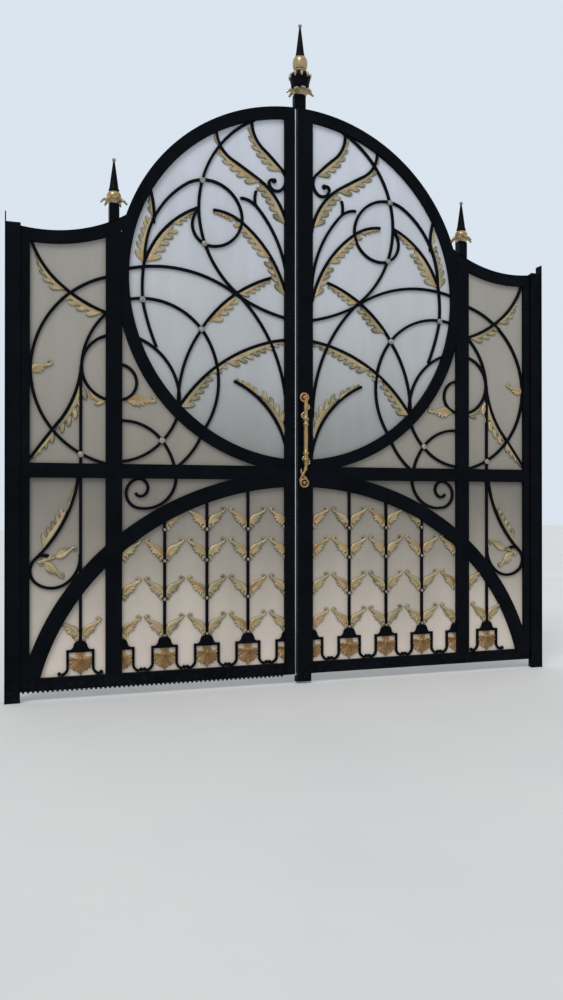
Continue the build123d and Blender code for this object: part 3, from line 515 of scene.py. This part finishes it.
def push_out(points, centre, least):
    """Keeps points at least so far from a centre in X and Z."""
    away = points[:, [0, 2]] - centre
    far = np.linalg.norm(away, axis=1)
    grow = np.maximum(1.0, least / np.maximum(far, 1e-6))
    moved = points.copy()
    moved[:, [0, 2]] = centre + away * grow[:, None]
    return moved


def pull_in(points, centre, half, rise):
    """Keeps points within an ellipse about a centre in X and Z."""
    away = (points[:, [0, 2]] - centre) / (half, rise)
    far = np.linalg.norm(away, axis=1)
    shrink = np.minimum(1.0, 1.0 / np.maximum(far, 1e-6))
    moved = points.copy()
    moved[:, [0, 2]] = centre + away * shrink[:, None] * (half, rise)
    return moved


def tuck_ring(side):
    """The rule that keeps a leaf's ring fronds in the ring."""
    def rule(points):
        moved = pull_in(points, (0.0, RING_Z), RING_IN + TUCK, RING_IN + TUCK)
        moved[:, 0] = np.maximum(moved[:, 0], MEETING_INNER[side] - TUCK)
        return moved
    return rule


def tuck_side(points):
    """Keeps the side panel's gold between post, stile and sagging rail."""
    moved = push_out(points, (TOP_RAIL_X, TOP_RAIL_Z), TOP_RAIL_RADIUS + TOP_RAIL_BAND - TUCK)
    moved[:, 0] = np.clip(moved[:, 0], POST_OUT - TUCK, STILE_IN + TUCK)
    moved[:, 2] = np.maximum(moved[:, 2], MID_RAIL_TOP - TUCK)
    return moved


def tuck_under_arch(low, high):
    """The rule that keeps leaves under the arch, between two uprights."""
    def rule(points):
        moved = pull_in(points, (0.0, ARCH_Z), ARCH_HALF + TUCK, ARCH_RISE + TUCK)
        moved[:, 0] = np.clip(moved[:, 0], low - TUCK, high + TUCK)
        moved[:, 2] = np.maximum(moved[:, 2], FLOOR_RAIL_TOP - TUCK)
        return moved
    return rule


def under_arch(x, z):
    """Whether a point lies under the arch."""
    return math.hypot(x / ARCH_HALF, (z - ARCH_Z) / ARCH_RISE) < 1.0


def squeezed(points):
    """Side panel points moved with the panel's height."""
    return [(x, MID_RAIL_TOP + (z - MID_RAIL_TOP) * SIDE_SQUEEZE) for x, z in points]


def gilded_fronds(side, gold):
    """Half leaves along the bent bars of one leaf."""
    ring, panel, low = Heap(), Heap(), Heap()
    for name, (way, leaves) in FRONDS.items():
        heap = ring if name.startswith("frond") else low if name == "low_loop" else panel
        spine = Spine(squeezed(SPINES[name]) if heap is panel else SPINES[name], way)
        for leaf in leaves:
            half_leaf(heap, spine, *leaf)
    ring.tuck(tuck_ring(side))
    panel.tuck(tuck_side)
    ring.take(panel)
    ring.take(low)
    piece = ring.piece(side + "_gilded_fronds", side, side + "_leaf", "gold", gold)
    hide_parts(side + "_fronds")


def gilded_leaves(side, gold):
    """Leaf pairs on the upright bars of one leaf, palmettes in the foot frames, single leaves."""
    near = Heap()
    for k, x in enumerate(UNIT_X):
        for z in ROWS:
            for way in (-1, 1):
                if (k == 0 and way < 0) or (k == len(UNIT_X) - 1 and way > 0):
                    continue
                if under_arch(x + way * 60, z + 80):
                    leaf_of_pair(near, x + way * BAR_EDGE, z, way, random.uniform(0.48, 0.72))
        palmette(near, x, FOOT_TOP)
    near.tuck(tuck_under_arch(MEETING_INNER[side], POST_IN))

    outer = Heap()
    palmette(outer, SIDE_BAR_X, FOOT_TOP)
    for way in (-1, 1):
        leaf_of_pair(outer, SIDE_BAR_X + way * BAR_EDGE, CAP_TOP, way, 0.6)
    if side == "right":
        leaf_of_pair(outer, POST_OUT, ROWS[2], 1, 0.6)
    outer.tuck(tuck_under_arch(POST_OUT, STILE_IN))

    single = Heap()
    for leaf in SINGLE_LEAVES + LOOP_LEAVES:
        gilded_leaf(single, *leaf)
    for path, widths in LOOP_STALKS:
        blade(single, path, widths, 7.0, tone=0.5)

    near.take(outer)
    near.take(single)
    piece = near.piece(side + "_gilded_leaves", side, side + "_leaf", "gold", gold)
    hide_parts(side + "_lower_leaves")


def gems(side, silver):
    """Silver rosettes where the bars cross and beads where the leaf pairs join."""
    heap = Heap()
    for x, z in CROSSING_GEMS + squeezed([SIDE_GEM]):
        button(heap, x, z, BAR_FRONT, GEM, 8, 0.5, turn=22.5)
    small = [(r * 0.52, out * 0.85) for r, out in GEM]
    for x in UNIT_X[1:-1]:
        for z in ROWS[:3]:
            if under_arch(x, z):
                button(heap, x, z, BAR_FRONT, small, 12, 0.6)
        button(heap, x, CAP_TOP + 12, BAR_FRONT, [(r * 0.85, out) for r, out in small], 12, 0.6)
    heap.piece(side + "_gems", side, side + "_leaf", "sheet", silver, crease=14.0)


def scroll_beads(side, black):
    """Ball ends of the small curls and of the fork, flat behind to stay in front of the sheet."""
    heap = Heap()
    depth = (BAR_FRONT + SHEET_FRONT) / 2 - 1.0
    for x, z, radius in SCROLL_BEADS:
        lathe(heap, (x, depth, z), ball_profile(radius, -20, 90, 0.92), 20, 0.5, axis="y")
    heap.piece(side + "_scroll_beads", side, side + "_leaf", "black", black)


def crown(heap, x, base, radius, neck, rise):
    """Veined leaves, every other one shorter, that spread from a neck and curl down at their tips."""
    up = np.array([0, 0, 1.0])
    half = np.interp(np.linspace(0, 1, CROWN_STATIONS), CROWN_SHARES, CROWN_HALVES) * radius * 0.225
    thick = np.full(CROWN_STATIONS, radius * 0.10)
    for k in range(CROWN_LEAVES):
        a = math.radians(360 / CROWN_LEAVES * k)
        out = np.array([math.cos(a), math.sin(a), 0.0])
        across = np.array([-math.sin(a), math.cos(a), 0.0])
        long = radius if k % 2 == 0 else radius * 0.88
        line = smooth([(neck * 0.7, base - rise * 0.4), (neck + (long - neck) * 0.26, base + rise * 0.6),
                       (neck + (long - neck) * 0.52, base + rise * 0.95), (long * 0.86, base + rise * 0.45),
                       (long, base - rise * 0.15)], CROWN_STATIONS)
        centre = np.array([x, 0.0, 0.0]) + out * line[:, :1] + up * line[:, 1:]
        along = heading(line)
        front = -out * along[:, 1:] + up * along[:, :1]
        side = np.tile(across, (len(line), 1))
        loft(heap, centre, side, front, half, thick, radius * 0.05, 0.35, 0.85)


def ball_profile(radius, low, high, squash=1.0, steps=14):
    """Radii and heights of a ball from one angle to another."""
    angles = np.radians(np.linspace(low, high, steps))
    return [(radius * math.cos(a), radius * squash * math.sin(a)) for a in angles]


def rail_top(x):
    """Height of the sagging rail's upper edge at X."""
    return TOP_RAIL_Z - math.sqrt(TOP_RAIL_RADIUS ** 2 - (TOP_RAIL_X - x) ** 2)


def cone(black_heap, silver_heap, x, low, high, radius):
    """A slender cone with a bead on its tip."""
    bead = 14.0
    neck = high - 2 * bead
    profile = [(radius * 0.95, low - 4), (radius * 1.1, low), (radius * 1.1, low + 4), (radius, low + 9)]
    for share in np.linspace(0.1, 1.0, 8):
        profile.append((radius * (1.0 - 0.80 * share), low + (neck - low) * share))
    lathe(black_heap, (x, 0, 0), profile, 28, 0.5)
    lathe(silver_heap, (x, 0, neck + bead), ball_profile(bead, -75, 90), 16, 0.6)


def post_spire(side, black, gold, silver):
    """The spire on the inner post: stem, leaf crown, ball, cone and tip."""
    x = (POST_IN + POST_OUT) / 2
    half = 34.0
    top = rail_top(x) + 112.0
    dark = Heap()
    foot = [(x + half * s, rail_top(x + half * s) - 3) for s in np.linspace(1, -1, 9)]
    prism(dark, [(x - half, top - 4), (x + half, top - 4)] + foot, -half, half)
    lathe(dark, (x, 0, top), STEM_COLLAR, 32, 0.5)
    bright = Heap()
    crown(bright, x, top + 10, 90.0, 36.0, 24.0)
    ball = [(r, z + 56) for r, z in ball_profile(50.0, -68, 58, 0.86)]
    lathe(bright, (x, 0, top), [(30, 2)] + ball + [(22, 99)], 40, 0.8)
    tip = Heap()
    cone(dark, tip, x, top + 97, top + 325, 34.0)
    piece = dark.piece(side + "_spire_stem", side, side + "_leaf", "black", black)
    soften(piece, 1.5)
    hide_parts(side + "_post_finial")
    bright.piece(side + "_spire_crown", side, side + "_leaf", "gold", gold)
    tip.piece(side + "_spire_tip", side, side + "_leaf", "sheet", silver)


def central_spire(black, gold, silver):
    """The tall spire on the right meeting stile, on its block."""
    left = RIGHT_EDGE - BLOCK_OVERHANG
    right = left + BLOCK_WIDTH
    low = RING_Z + RING_OUT + 10.0
    high = low + BLOCK_HEIGHT
    x = (left + right) / 2 + 7.0
    dark = Heap()
    block = [(left, high), (right, high), (right, low), (left + BLOCK_CUT, low), (left, low + BLOCK_CUT)]
    prism(dark, block, FRONT, -FRONT)
    foot = [(u, RING_Z + math.sqrt(RING_OUT ** 2 - u ** 2) - 3) for u in np.linspace(right, RIGHT_EDGE, 7)]
    prism(dark, [(RIGHT_EDGE, low + 5), (right, low + 5)] + foot, FRONT, -FRONT)
    cup = high + 48.0
    neck = [(33, high - 4), (34, high + 6), (38, cup - 8), (46, cup - 2), (58, cup)]
    lathe(dark, (x, 0, 0), neck, 40, 0.5)
    lathe(dark, (x, 0, cup), CUP_PROFILE, 48, 0.5)
    bright = Heap()
    crown(bright, x, high + 14, 105.0, 42.0, 22.0)
    shoulder = 77.0
    for k in range(DROPS):
        a = math.radians(360 / DROPS * k + 8)
        place = (x + shoulder * math.cos(a), shoulder * math.sin(a), cup + 92)
        lathe(bright, place, DROP_PROFILE, 12, 0.5)
    lathe(bright, (x, 0, cup), LIP_PROFILE, 36, 0.5)
    ball = [(r, z + 191) for r, z in BALL_PROFILE]
    lathe(bright, (x, 0, cup), [(30, 138)] + ball + [(24, 242)], 40, 0.7)
    tip = Heap()
    cone(dark, tip, x, cup + 240, high + 537, 34.0)
    piece = dark.piece("central_spire_body", "right", "right_leaf", "black", black)
    soften(piece, 1.5)
    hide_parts("central_finial")
    bright.piece("central_spire_crown", "right", "right_leaf", "gold", gold)
    tip.piece("central_spire_tip", "right", "right_leaf", "sheet", silver)


def pull_handle(black, gold):
    """The long pull handle: a turned bar between two eyes, with curls and a split lower end."""
    eye_x = RIGHT_EDGE + 36.0
    bar_x = RIGHT_EDGE + 47.0
    y = FRONT - 45.0
    bright = Heap()
    dark = Heap()

    def strand(path, radii):
        tube(bright, [(bar_x + u, y + v, z) for u, v, z in path], radii, 0.85)

    lathe(bright, (bar_x, y, 0), HANDLE_BAR, 28, 0.8)
    strand(*HANDLE_NECK)
    for way, reach, z, size in HANDLE_CURLS:
        spot = bar_x + way * reach
        lathe(bright, (spot, y - 2, z), ball_profile(size * 0.6, -80, 90, 0.9), 18, 0.9, axis="y")
        turns = [(spot + way * size * math.cos(a), y - 2, z + size * math.sin(a) * 1.3)
                 for a in np.radians([-150, -90, -30, 30, 80])]
        tube(bright, turns + [(bar_x + way * 6, y - 4, z + size * 2.6)], [4, 5.5, 6, 6, 6, 4], 0.75)
    for path, radii in HANDLE_SPLIT:
        strand(path, radii)
    for z in HANDLE_EYES:
        torus(bright, (eye_x, y, z), 29.0, 8.0, 0.85)
        lathe(dark, (eye_x, y, z), [(24, -6), (26, -3), (26, 0), (20, 1), (14, 0)], 28, 0.5, axis="y")
        lathe(bright, (eye_x, y, z), ball_profile(15.5, -30, 90, 0.95), 22, 0.9, axis="y")
        lathe(dark, (eye_x, y, z), [(13, -45), (12, -40), (12, -6)], 20, 0.5, axis="y")
    piece = bright.piece("pull_handle", "right", "right_leaf", "gold", gold)
    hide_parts("handle")
    dark.piece("pull_handle_roses", "right", "right_leaf", "black", black)


def torus(heap, centre, radius, thick, tone, around=40, count=12):
    """A round ring that faces forward."""
    points = []
    for i in range(around):
        a = 2 * math.pi * i / around
        for j in range(count):
            b = 2 * math.pi * j / count
            wide = radius + thick * math.cos(b)
            points.append((wide * math.cos(a), thick * math.sin(b), wide * math.sin(a)))
    faces = [(i * count + j, i * count + (j + 1) % count,
              ((i + 1) % around) * count + (j + 1) % count, ((i + 1) % around) * count + j)
             for i in range(around) for j in range(count)]
    heap.add(np.array(points) + centre, faces, tone)


def soften(piece, width):
    """Small rounded edges."""
    weld = piece.modifiers.new("weld", "WELD")
    weld.merge_threshold = 0.00002
    bevel = piece.modifiers.new("soft_edges", "BEVEL")
    bevel.width = width * MM
    bevel.segments = 2
    bevel.limit_method = "ANGLE"
    bevel.angle_limit = math.radians(38)
    bevel.harden_normals = True
    bevel.miter_outer = "MITER_ARC"


class Paint:
    """A node material built up step by step."""

    def __init__(self, name, roughness, metallic=0.0, specular=0.5):
        self.material = bpy.data.materials.new(name)
        self.material.use_nodes = True
        self.tree = self.material.node_tree
        self.shader = self.tree.nodes["Principled BSDF"]
        self.shader.inputs["Roughness"].default_value = roughness
        self.shader.inputs["Metallic"].default_value = metallic
        self.shader.inputs["Specular IOR Level"].default_value = specular
        self.coords = self.tree.nodes.new("ShaderNodeTexCoord")

    def link(self, source, target):
        """Joins an output to an input."""
        self.tree.links.new(source, target)

    def noise(self, scale, detail=4.0, rough=0.55, stretch=None):
        """Cloudy noise fixed to the object."""
        node = self.tree.nodes.new("ShaderNodeTexNoise")
        node.inputs["Scale"].default_value = scale
        node.inputs["Detail"].default_value = detail
        node.inputs["Roughness"].default_value = rough
        source = self.coords.outputs["Object"]
        if stretch:
            mapping = self.tree.nodes.new("ShaderNodeMapping")
            mapping.inputs["Scale"].default_value = stretch
            self.link(source, mapping.inputs["Vector"])
            source = mapping.outputs["Vector"]
        self.link(source, node.inputs["Vector"])
        return node.outputs["Fac"]

    def ramp(self, source, *stops):
        """Colours by value."""
        node = self.tree.nodes.new("ShaderNodeValToRGB")
        ramp = node.color_ramp
        while len(ramp.elements) < len(stops):
            ramp.elements.new(0.5)
        for element, (place, colour) in zip(ramp.elements, stops):
            element.position = place
            element.color = (*colour, 1.0)
        self.link(source, node.inputs["Fac"])
        return node.outputs["Color"]

    def spread(self, source, low, high, to_low=0.0, to_high=1.0):
        """A value mapped from one range to another."""
        node = self.tree.nodes.new("ShaderNodeMapRange")
        ends = (("From Min", low), ("From Max", high), ("To Min", to_low), ("To Max", to_high))
        for socket, value in ends:
            node.inputs[socket].default_value = value
        self.link(source, node.inputs["Value"])
        return node.outputs["Result"]

    def mix(self, share, first, second, blend="MIX"):
        """Two colours mixed by a value or a constant share."""
        node = self.tree.nodes.new("ShaderNodeMix")
        node.data_type = "RGBA"
        node.blend_type = blend
        for socket, value in ((node.inputs["Factor"], share), (node.inputs["A"], first),
                              (node.inputs["B"], second)):
            self.feed(socket, value)
        return next(o for o in node.outputs if o.type == "RGBA")

    def feed(self, socket, value):
        """Sets a socket to a constant, or links it."""
        if isinstance(value, bpy.types.NodeSocket):
            self.link(value, socket)
        elif isinstance(value, tuple):
            socket.default_value = (*value, 1.0)
        else:
            socket.default_value = value

    def part(self, vector, axis):
        """One component of a vector."""
        node = self.tree.nodes.new("ShaderNodeSeparateXYZ")
        self.link(vector, node.inputs["Vector"])
        return node.outputs[axis]

    def times(self, first, second):
        """A product of two values."""
        node = self.tree.nodes.new("ShaderNodeMath")
        node.operation = "MULTIPLY"
        self.feed(node.inputs[0], first)
        self.feed(node.inputs[1], second)
        return node.outputs["Value"]

    def bump(self, height, strength, distance):
        """Bump on the shader."""
        node = self.tree.nodes.new("ShaderNodeBump")
        node.inputs["Strength"].default_value = strength
        node.inputs["Distance"].default_value = distance
        self.link(height, node.inputs["Height"])
        self.link(node.outputs["Normal"], self.shader.inputs["Normal"])

    def colour(self, source):
        """Base colour."""
        self.link(source, self.shader.inputs["Base Color"])

    def roughness(self, source):
        """Roughness from a value."""
        self.link(source, self.shader.inputs["Roughness"])


def black_paint():
    """Near-black satin paint with dust on ledges and splashes near the ground."""
    paint = Paint("black_paint", 0.4, specular=0.045)
    cloud = paint.ramp(paint.noise(5.0), (0.35, (0.0010, 0.0017, 0.0030)), (0.7, (0.0024, 0.0036, 0.0062)))
    geometry = paint.tree.nodes.new("ShaderNodeNewGeometry")
    up = paint.spread(paint.part(geometry.outputs["Normal"], "Z"), 0.55, 0.98)
    dust = paint.times(up, paint.spread(paint.noise(38.0, 5.0), 0.35, 0.7, 0.03, 0.22))
    tone = paint.mix(dust, cloud, (0.075, 0.070, 0.062))
    low = paint.spread(paint.part(paint.coords.outputs["Object"], "Z"), 0.24, 0.0)
    splash = paint.times(low, paint.spread(paint.noise(30.0, 6.0, 0.65), 0.5, 0.74, 0.0, 0.16))
    paint.colour(paint.mix(splash, tone, (0.075, 0.068, 0.058)))
    paint.roughness(paint.spread(paint.noise(14.0), 0.3, 0.7, 0.33, 0.5))
    paint.bump(paint.noise(260.0, 3.0), 0.14, 0.0006)
    return paint.material


def gold_paint(name, metallic, smoothest, roughest):
    """Antique gold on castings: olive painted shade in the recesses, a pale painted highlight on the
    crests, brown at the highest tone.
    """
    paint = Paint(name, roughest, metallic)
    tone = paint.tree.nodes.new("ShaderNodeAttribute")
    tone.attribute_name = "tone"
    # The tone paints shade in the recesses and a highlight on the crests; past its pale middle it turns
    # brown
    shade = paint.ramp(tone.outputs["Fac"], *GOLD_TONES)
    patch = paint.ramp(paint.noise(9.0, 3.0), (0.38, (0.74, 0.80, 0.62)), (0.64, (1.0, 0.92, 0.84)))
    shade_and_patches = paint.mix(0.8, shade, patch, "MULTIPLY")
    grime = paint.spread(paint.noise(75.0, 5.0, 0.6), 0.52, 0.72, 0.0, 0.5)
    paint.colour(paint.mix(grime, shade_and_patches, (0.12, 0.092, 0.048)))
    paint.roughness(paint.spread(paint.noise(42.0), 0.3, 0.7, smoothest, roughest))
    paint.bump(paint.noise(170.0, 4.0), 0.35, 0.0009)
    return paint.material


def silver_paint():
    """Dull silver on the rosettes, beads and tips."""
    paint = Paint("silver_paint", 0.4, metallic=0.3)
    paint.colour(paint.ramp(paint.noise(60.0), (0.35, (0.16, 0.15, 0.13)), (0.65, (0.36, 0.335, 0.30))))
    paint.roughness(paint.spread(paint.noise(90.0), 0.3, 0.7, 0.34, 0.54))
    paint.bump(paint.noise(240.0), 0.2, 0.0005)
    return paint.material


def steel_paint():
    """Painted hinge steel, worn and greasy by the pins."""
    paint = Paint("hinge_paint", 0.3, metallic=0.3, specular=0.3)
    streak = paint.noise(22.0, 5.0, stretch=(1.0, 1.0, 0.3))
    paint.colour(paint.ramp(streak, (0.4, (0.010, 0.011, 0.013)), (0.62, (0.034, 0.030, 0.026)),
                            (0.75, (0.085, 0.075, 0.066))))
    paint.roughness(paint.spread(paint.noise(35.0), 0.3, 0.7, 0.16, 0.5))
    paint.bump(paint.noise(200.0), 0.2, 0.0006)
    return paint.material


def sheet_colour_and_light(name, stops):
    """A frosted pale finish with painted light and shade that drift with height, with faint stains and a
    fine tooth.
    """
    paint = Paint(name, 0.6, specular=0.3)
    # The tone by height is painted light and shade: lighter towards the top of the ring and upper sheets
    # and near the ground on the lower sheets, darker by the mid rail
    height = paint.part(paint.coords.outputs["Object"], "Z")
    highest = stops[-1][0]
    wander = paint.tree.nodes.new("ShaderNodeMath")
    wander.operation = "ADD"
    paint.link(height, wander.inputs[0])
    paint.link(paint.spread(paint.noise(1.1, 3.0), 0.3, 0.7, -0.16, 0.16), wander.inputs[1])
    share = paint.spread(wander.outputs["Value"], 0.0, highest)
    tone = paint.ramp(share, *((z / highest, colour) for z, colour in stops))
    streaks = paint.ramp(paint.noise(7.0, 5.0, 0.6, stretch=(1.0, 1.0, 0.16)), (0.34, (0.90, 0.90, 0.885)),
                         (0.66, (1.0, 1.0, 1.0)))
    stained = paint.mix(0.8, tone, streaks, "MULTIPLY")
    speckle = paint.ramp(paint.noise(420.0, 2.0), (0.36, (0.90, 0.90, 0.90)), (0.64, (1.0, 1.0, 1.0)))
    paint.colour(paint.mix(0.7, stained, speckle, "MULTIPLY"))
    paint.roughness(paint.spread(paint.noise(18.0), 0.3, 0.7, 0.5, 0.68))
    paint.bump(paint.noise(520.0, 2.0), 0.25, 0.0005)
    return paint.material


def dress_frame(black, steel, ring_sheet, upper_sheet, lower_sheet):
    """Finishes and soft edges for the frame's nodes."""
    finishes = {"ring_sheet": ring_sheet, "upper_sheets": upper_sheet, "lower_sheets": lower_sheet,
                "knuckles": steel, "post_hinges": steel}
    for name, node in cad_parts.items():
        finish = next((finishes[ending] for ending in finishes if name.endswith(ending)), black)
        node.data.materials.clear()
        node.data.materials.append(finish)
        if not name.endswith(("sheet", "sheets")):
            thin = name.endswith(("scrolls", "bars", "strip", "knuckles", "hinges"))
            soften(node, 1.6 if thin else 3.0)


def stage():
    """A plain pale floor."""
    bpy.ops.mesh.primitive_plane_add(size=80, location=(GATE_X, 0, 0))
    ground = bpy.context.object
    ground.name = "floor"
    paint = Paint("floor_finish", 0.85, specular=0.2)
    paint.colour(paint.ramp(paint.noise(0.7, 3.0), (0.3, (0.66, 0.665, 0.67)), (0.7, (0.70, 0.70, 0.70))))
    ground.data.materials.append(paint.material)


def camera():
    """The photograph's view, fitted to matching points on the two leaves."""
    data = bpy.data.cameras.new("photo_camera")
    data.lens = VIEW_LENS
    data.sensor_width = 36.0
    data.clip_end = 200
    cam = bpy.data.objects.new("photo_camera", data)
    yaw = math.radians(VIEW_YAW)
    pitch = math.radians(VIEW_PITCH)
    cam.location = (GATE_X + VIEW_PLACE[0], VIEW_PLACE[1], VIEW_PLACE[2])
    forward = Vector((math.sin(yaw) * math.cos(pitch), math.cos(yaw) * math.cos(pitch), math.sin(pitch)))
    cam.rotation_mode = "QUATERNION"
    cam.rotation_quaternion = forward.to_track_quat("-Z", "Y")
    bpy.context.scene.collection.objects.link(cam)
    bpy.context.scene.camera = cam


def lights():
    """Plain soft studio light, and a pale background."""
    world = bpy.data.worlds.new("studio")
    world.use_nodes = True
    tree = world.node_tree
    light = tree.nodes["Background"]
    light.inputs["Color"].default_value = (0.93, 0.97, 1.0, 1)
    light.inputs["Strength"].default_value = 0.74
    shown = tree.nodes.new("ShaderNodeBackground")
    shown.inputs["Color"].default_value = (0.70, 0.78, 0.86, 1)
    shown.inputs["Strength"].default_value = 1.0
    path = tree.nodes.new("ShaderNodeLightPath")
    either = path.outputs["Is Camera Ray"]
    for ray in ("Is Glossy Ray", "Is Transmission Ray"):
        most = tree.nodes.new("ShaderNodeMath")
        most.operation = "MAXIMUM"
        tree.links.new(either, most.inputs[0])
        tree.links.new(path.outputs[ray], most.inputs[1])
        either = most.outputs["Value"]
    choose = tree.nodes.new("ShaderNodeMixShader")
    tree.links.new(either, choose.inputs["Fac"])
    tree.links.new(light.outputs["Background"], choose.inputs[1])
    tree.links.new(shown.outputs["Background"], choose.inputs[2])
    tree.links.new(choose.outputs["Shader"], tree.nodes["World Output"].inputs["Surface"])
    bpy.context.scene.world = world
    sun = bpy.data.lights.new("key", "SUN")
    sun.energy = 1.3
    sun.angle = math.radians(28)
    sun.color = (1.0, 0.97, 0.92)
    key = bpy.data.objects.new("key", sun)
    key.rotation_euler = (math.radians(42), 0, math.radians(-34))
    bpy.context.scene.collection.objects.link(key)


black = black_paint()
gold = gold_paint("gold_paint", 0.4, 0.30, 0.52)
bright_gold = gold_paint("bright_gold_paint", 0.7, 0.18, 0.36)
silver = silver_paint()
dress_frame(black, steel_paint(), sheet_colour_and_light("ring_sheet_colour_and_light", RING_SHEET_TONES),
            sheet_colour_and_light("upper_sheet_colour_and_light", UPPER_SHEET_TONES),
            sheet_colour_and_light("lower_sheet_colour_and_light", LOWER_SHEET_TONES))
for hand in ("right", "left"):
    gilded_fronds(hand, gold)
    gilded_leaves(hand, gold)
    gems(hand, silver)
    scroll_beads(hand, black)
    post_spire(hand, black, bright_gold, silver)
central_spire(black, bright_gold, silver)
pull_handle(black, bright_gold)
stage()
camera()
lights()
bpy.context.scene.view_settings.view_transform = "Standard"
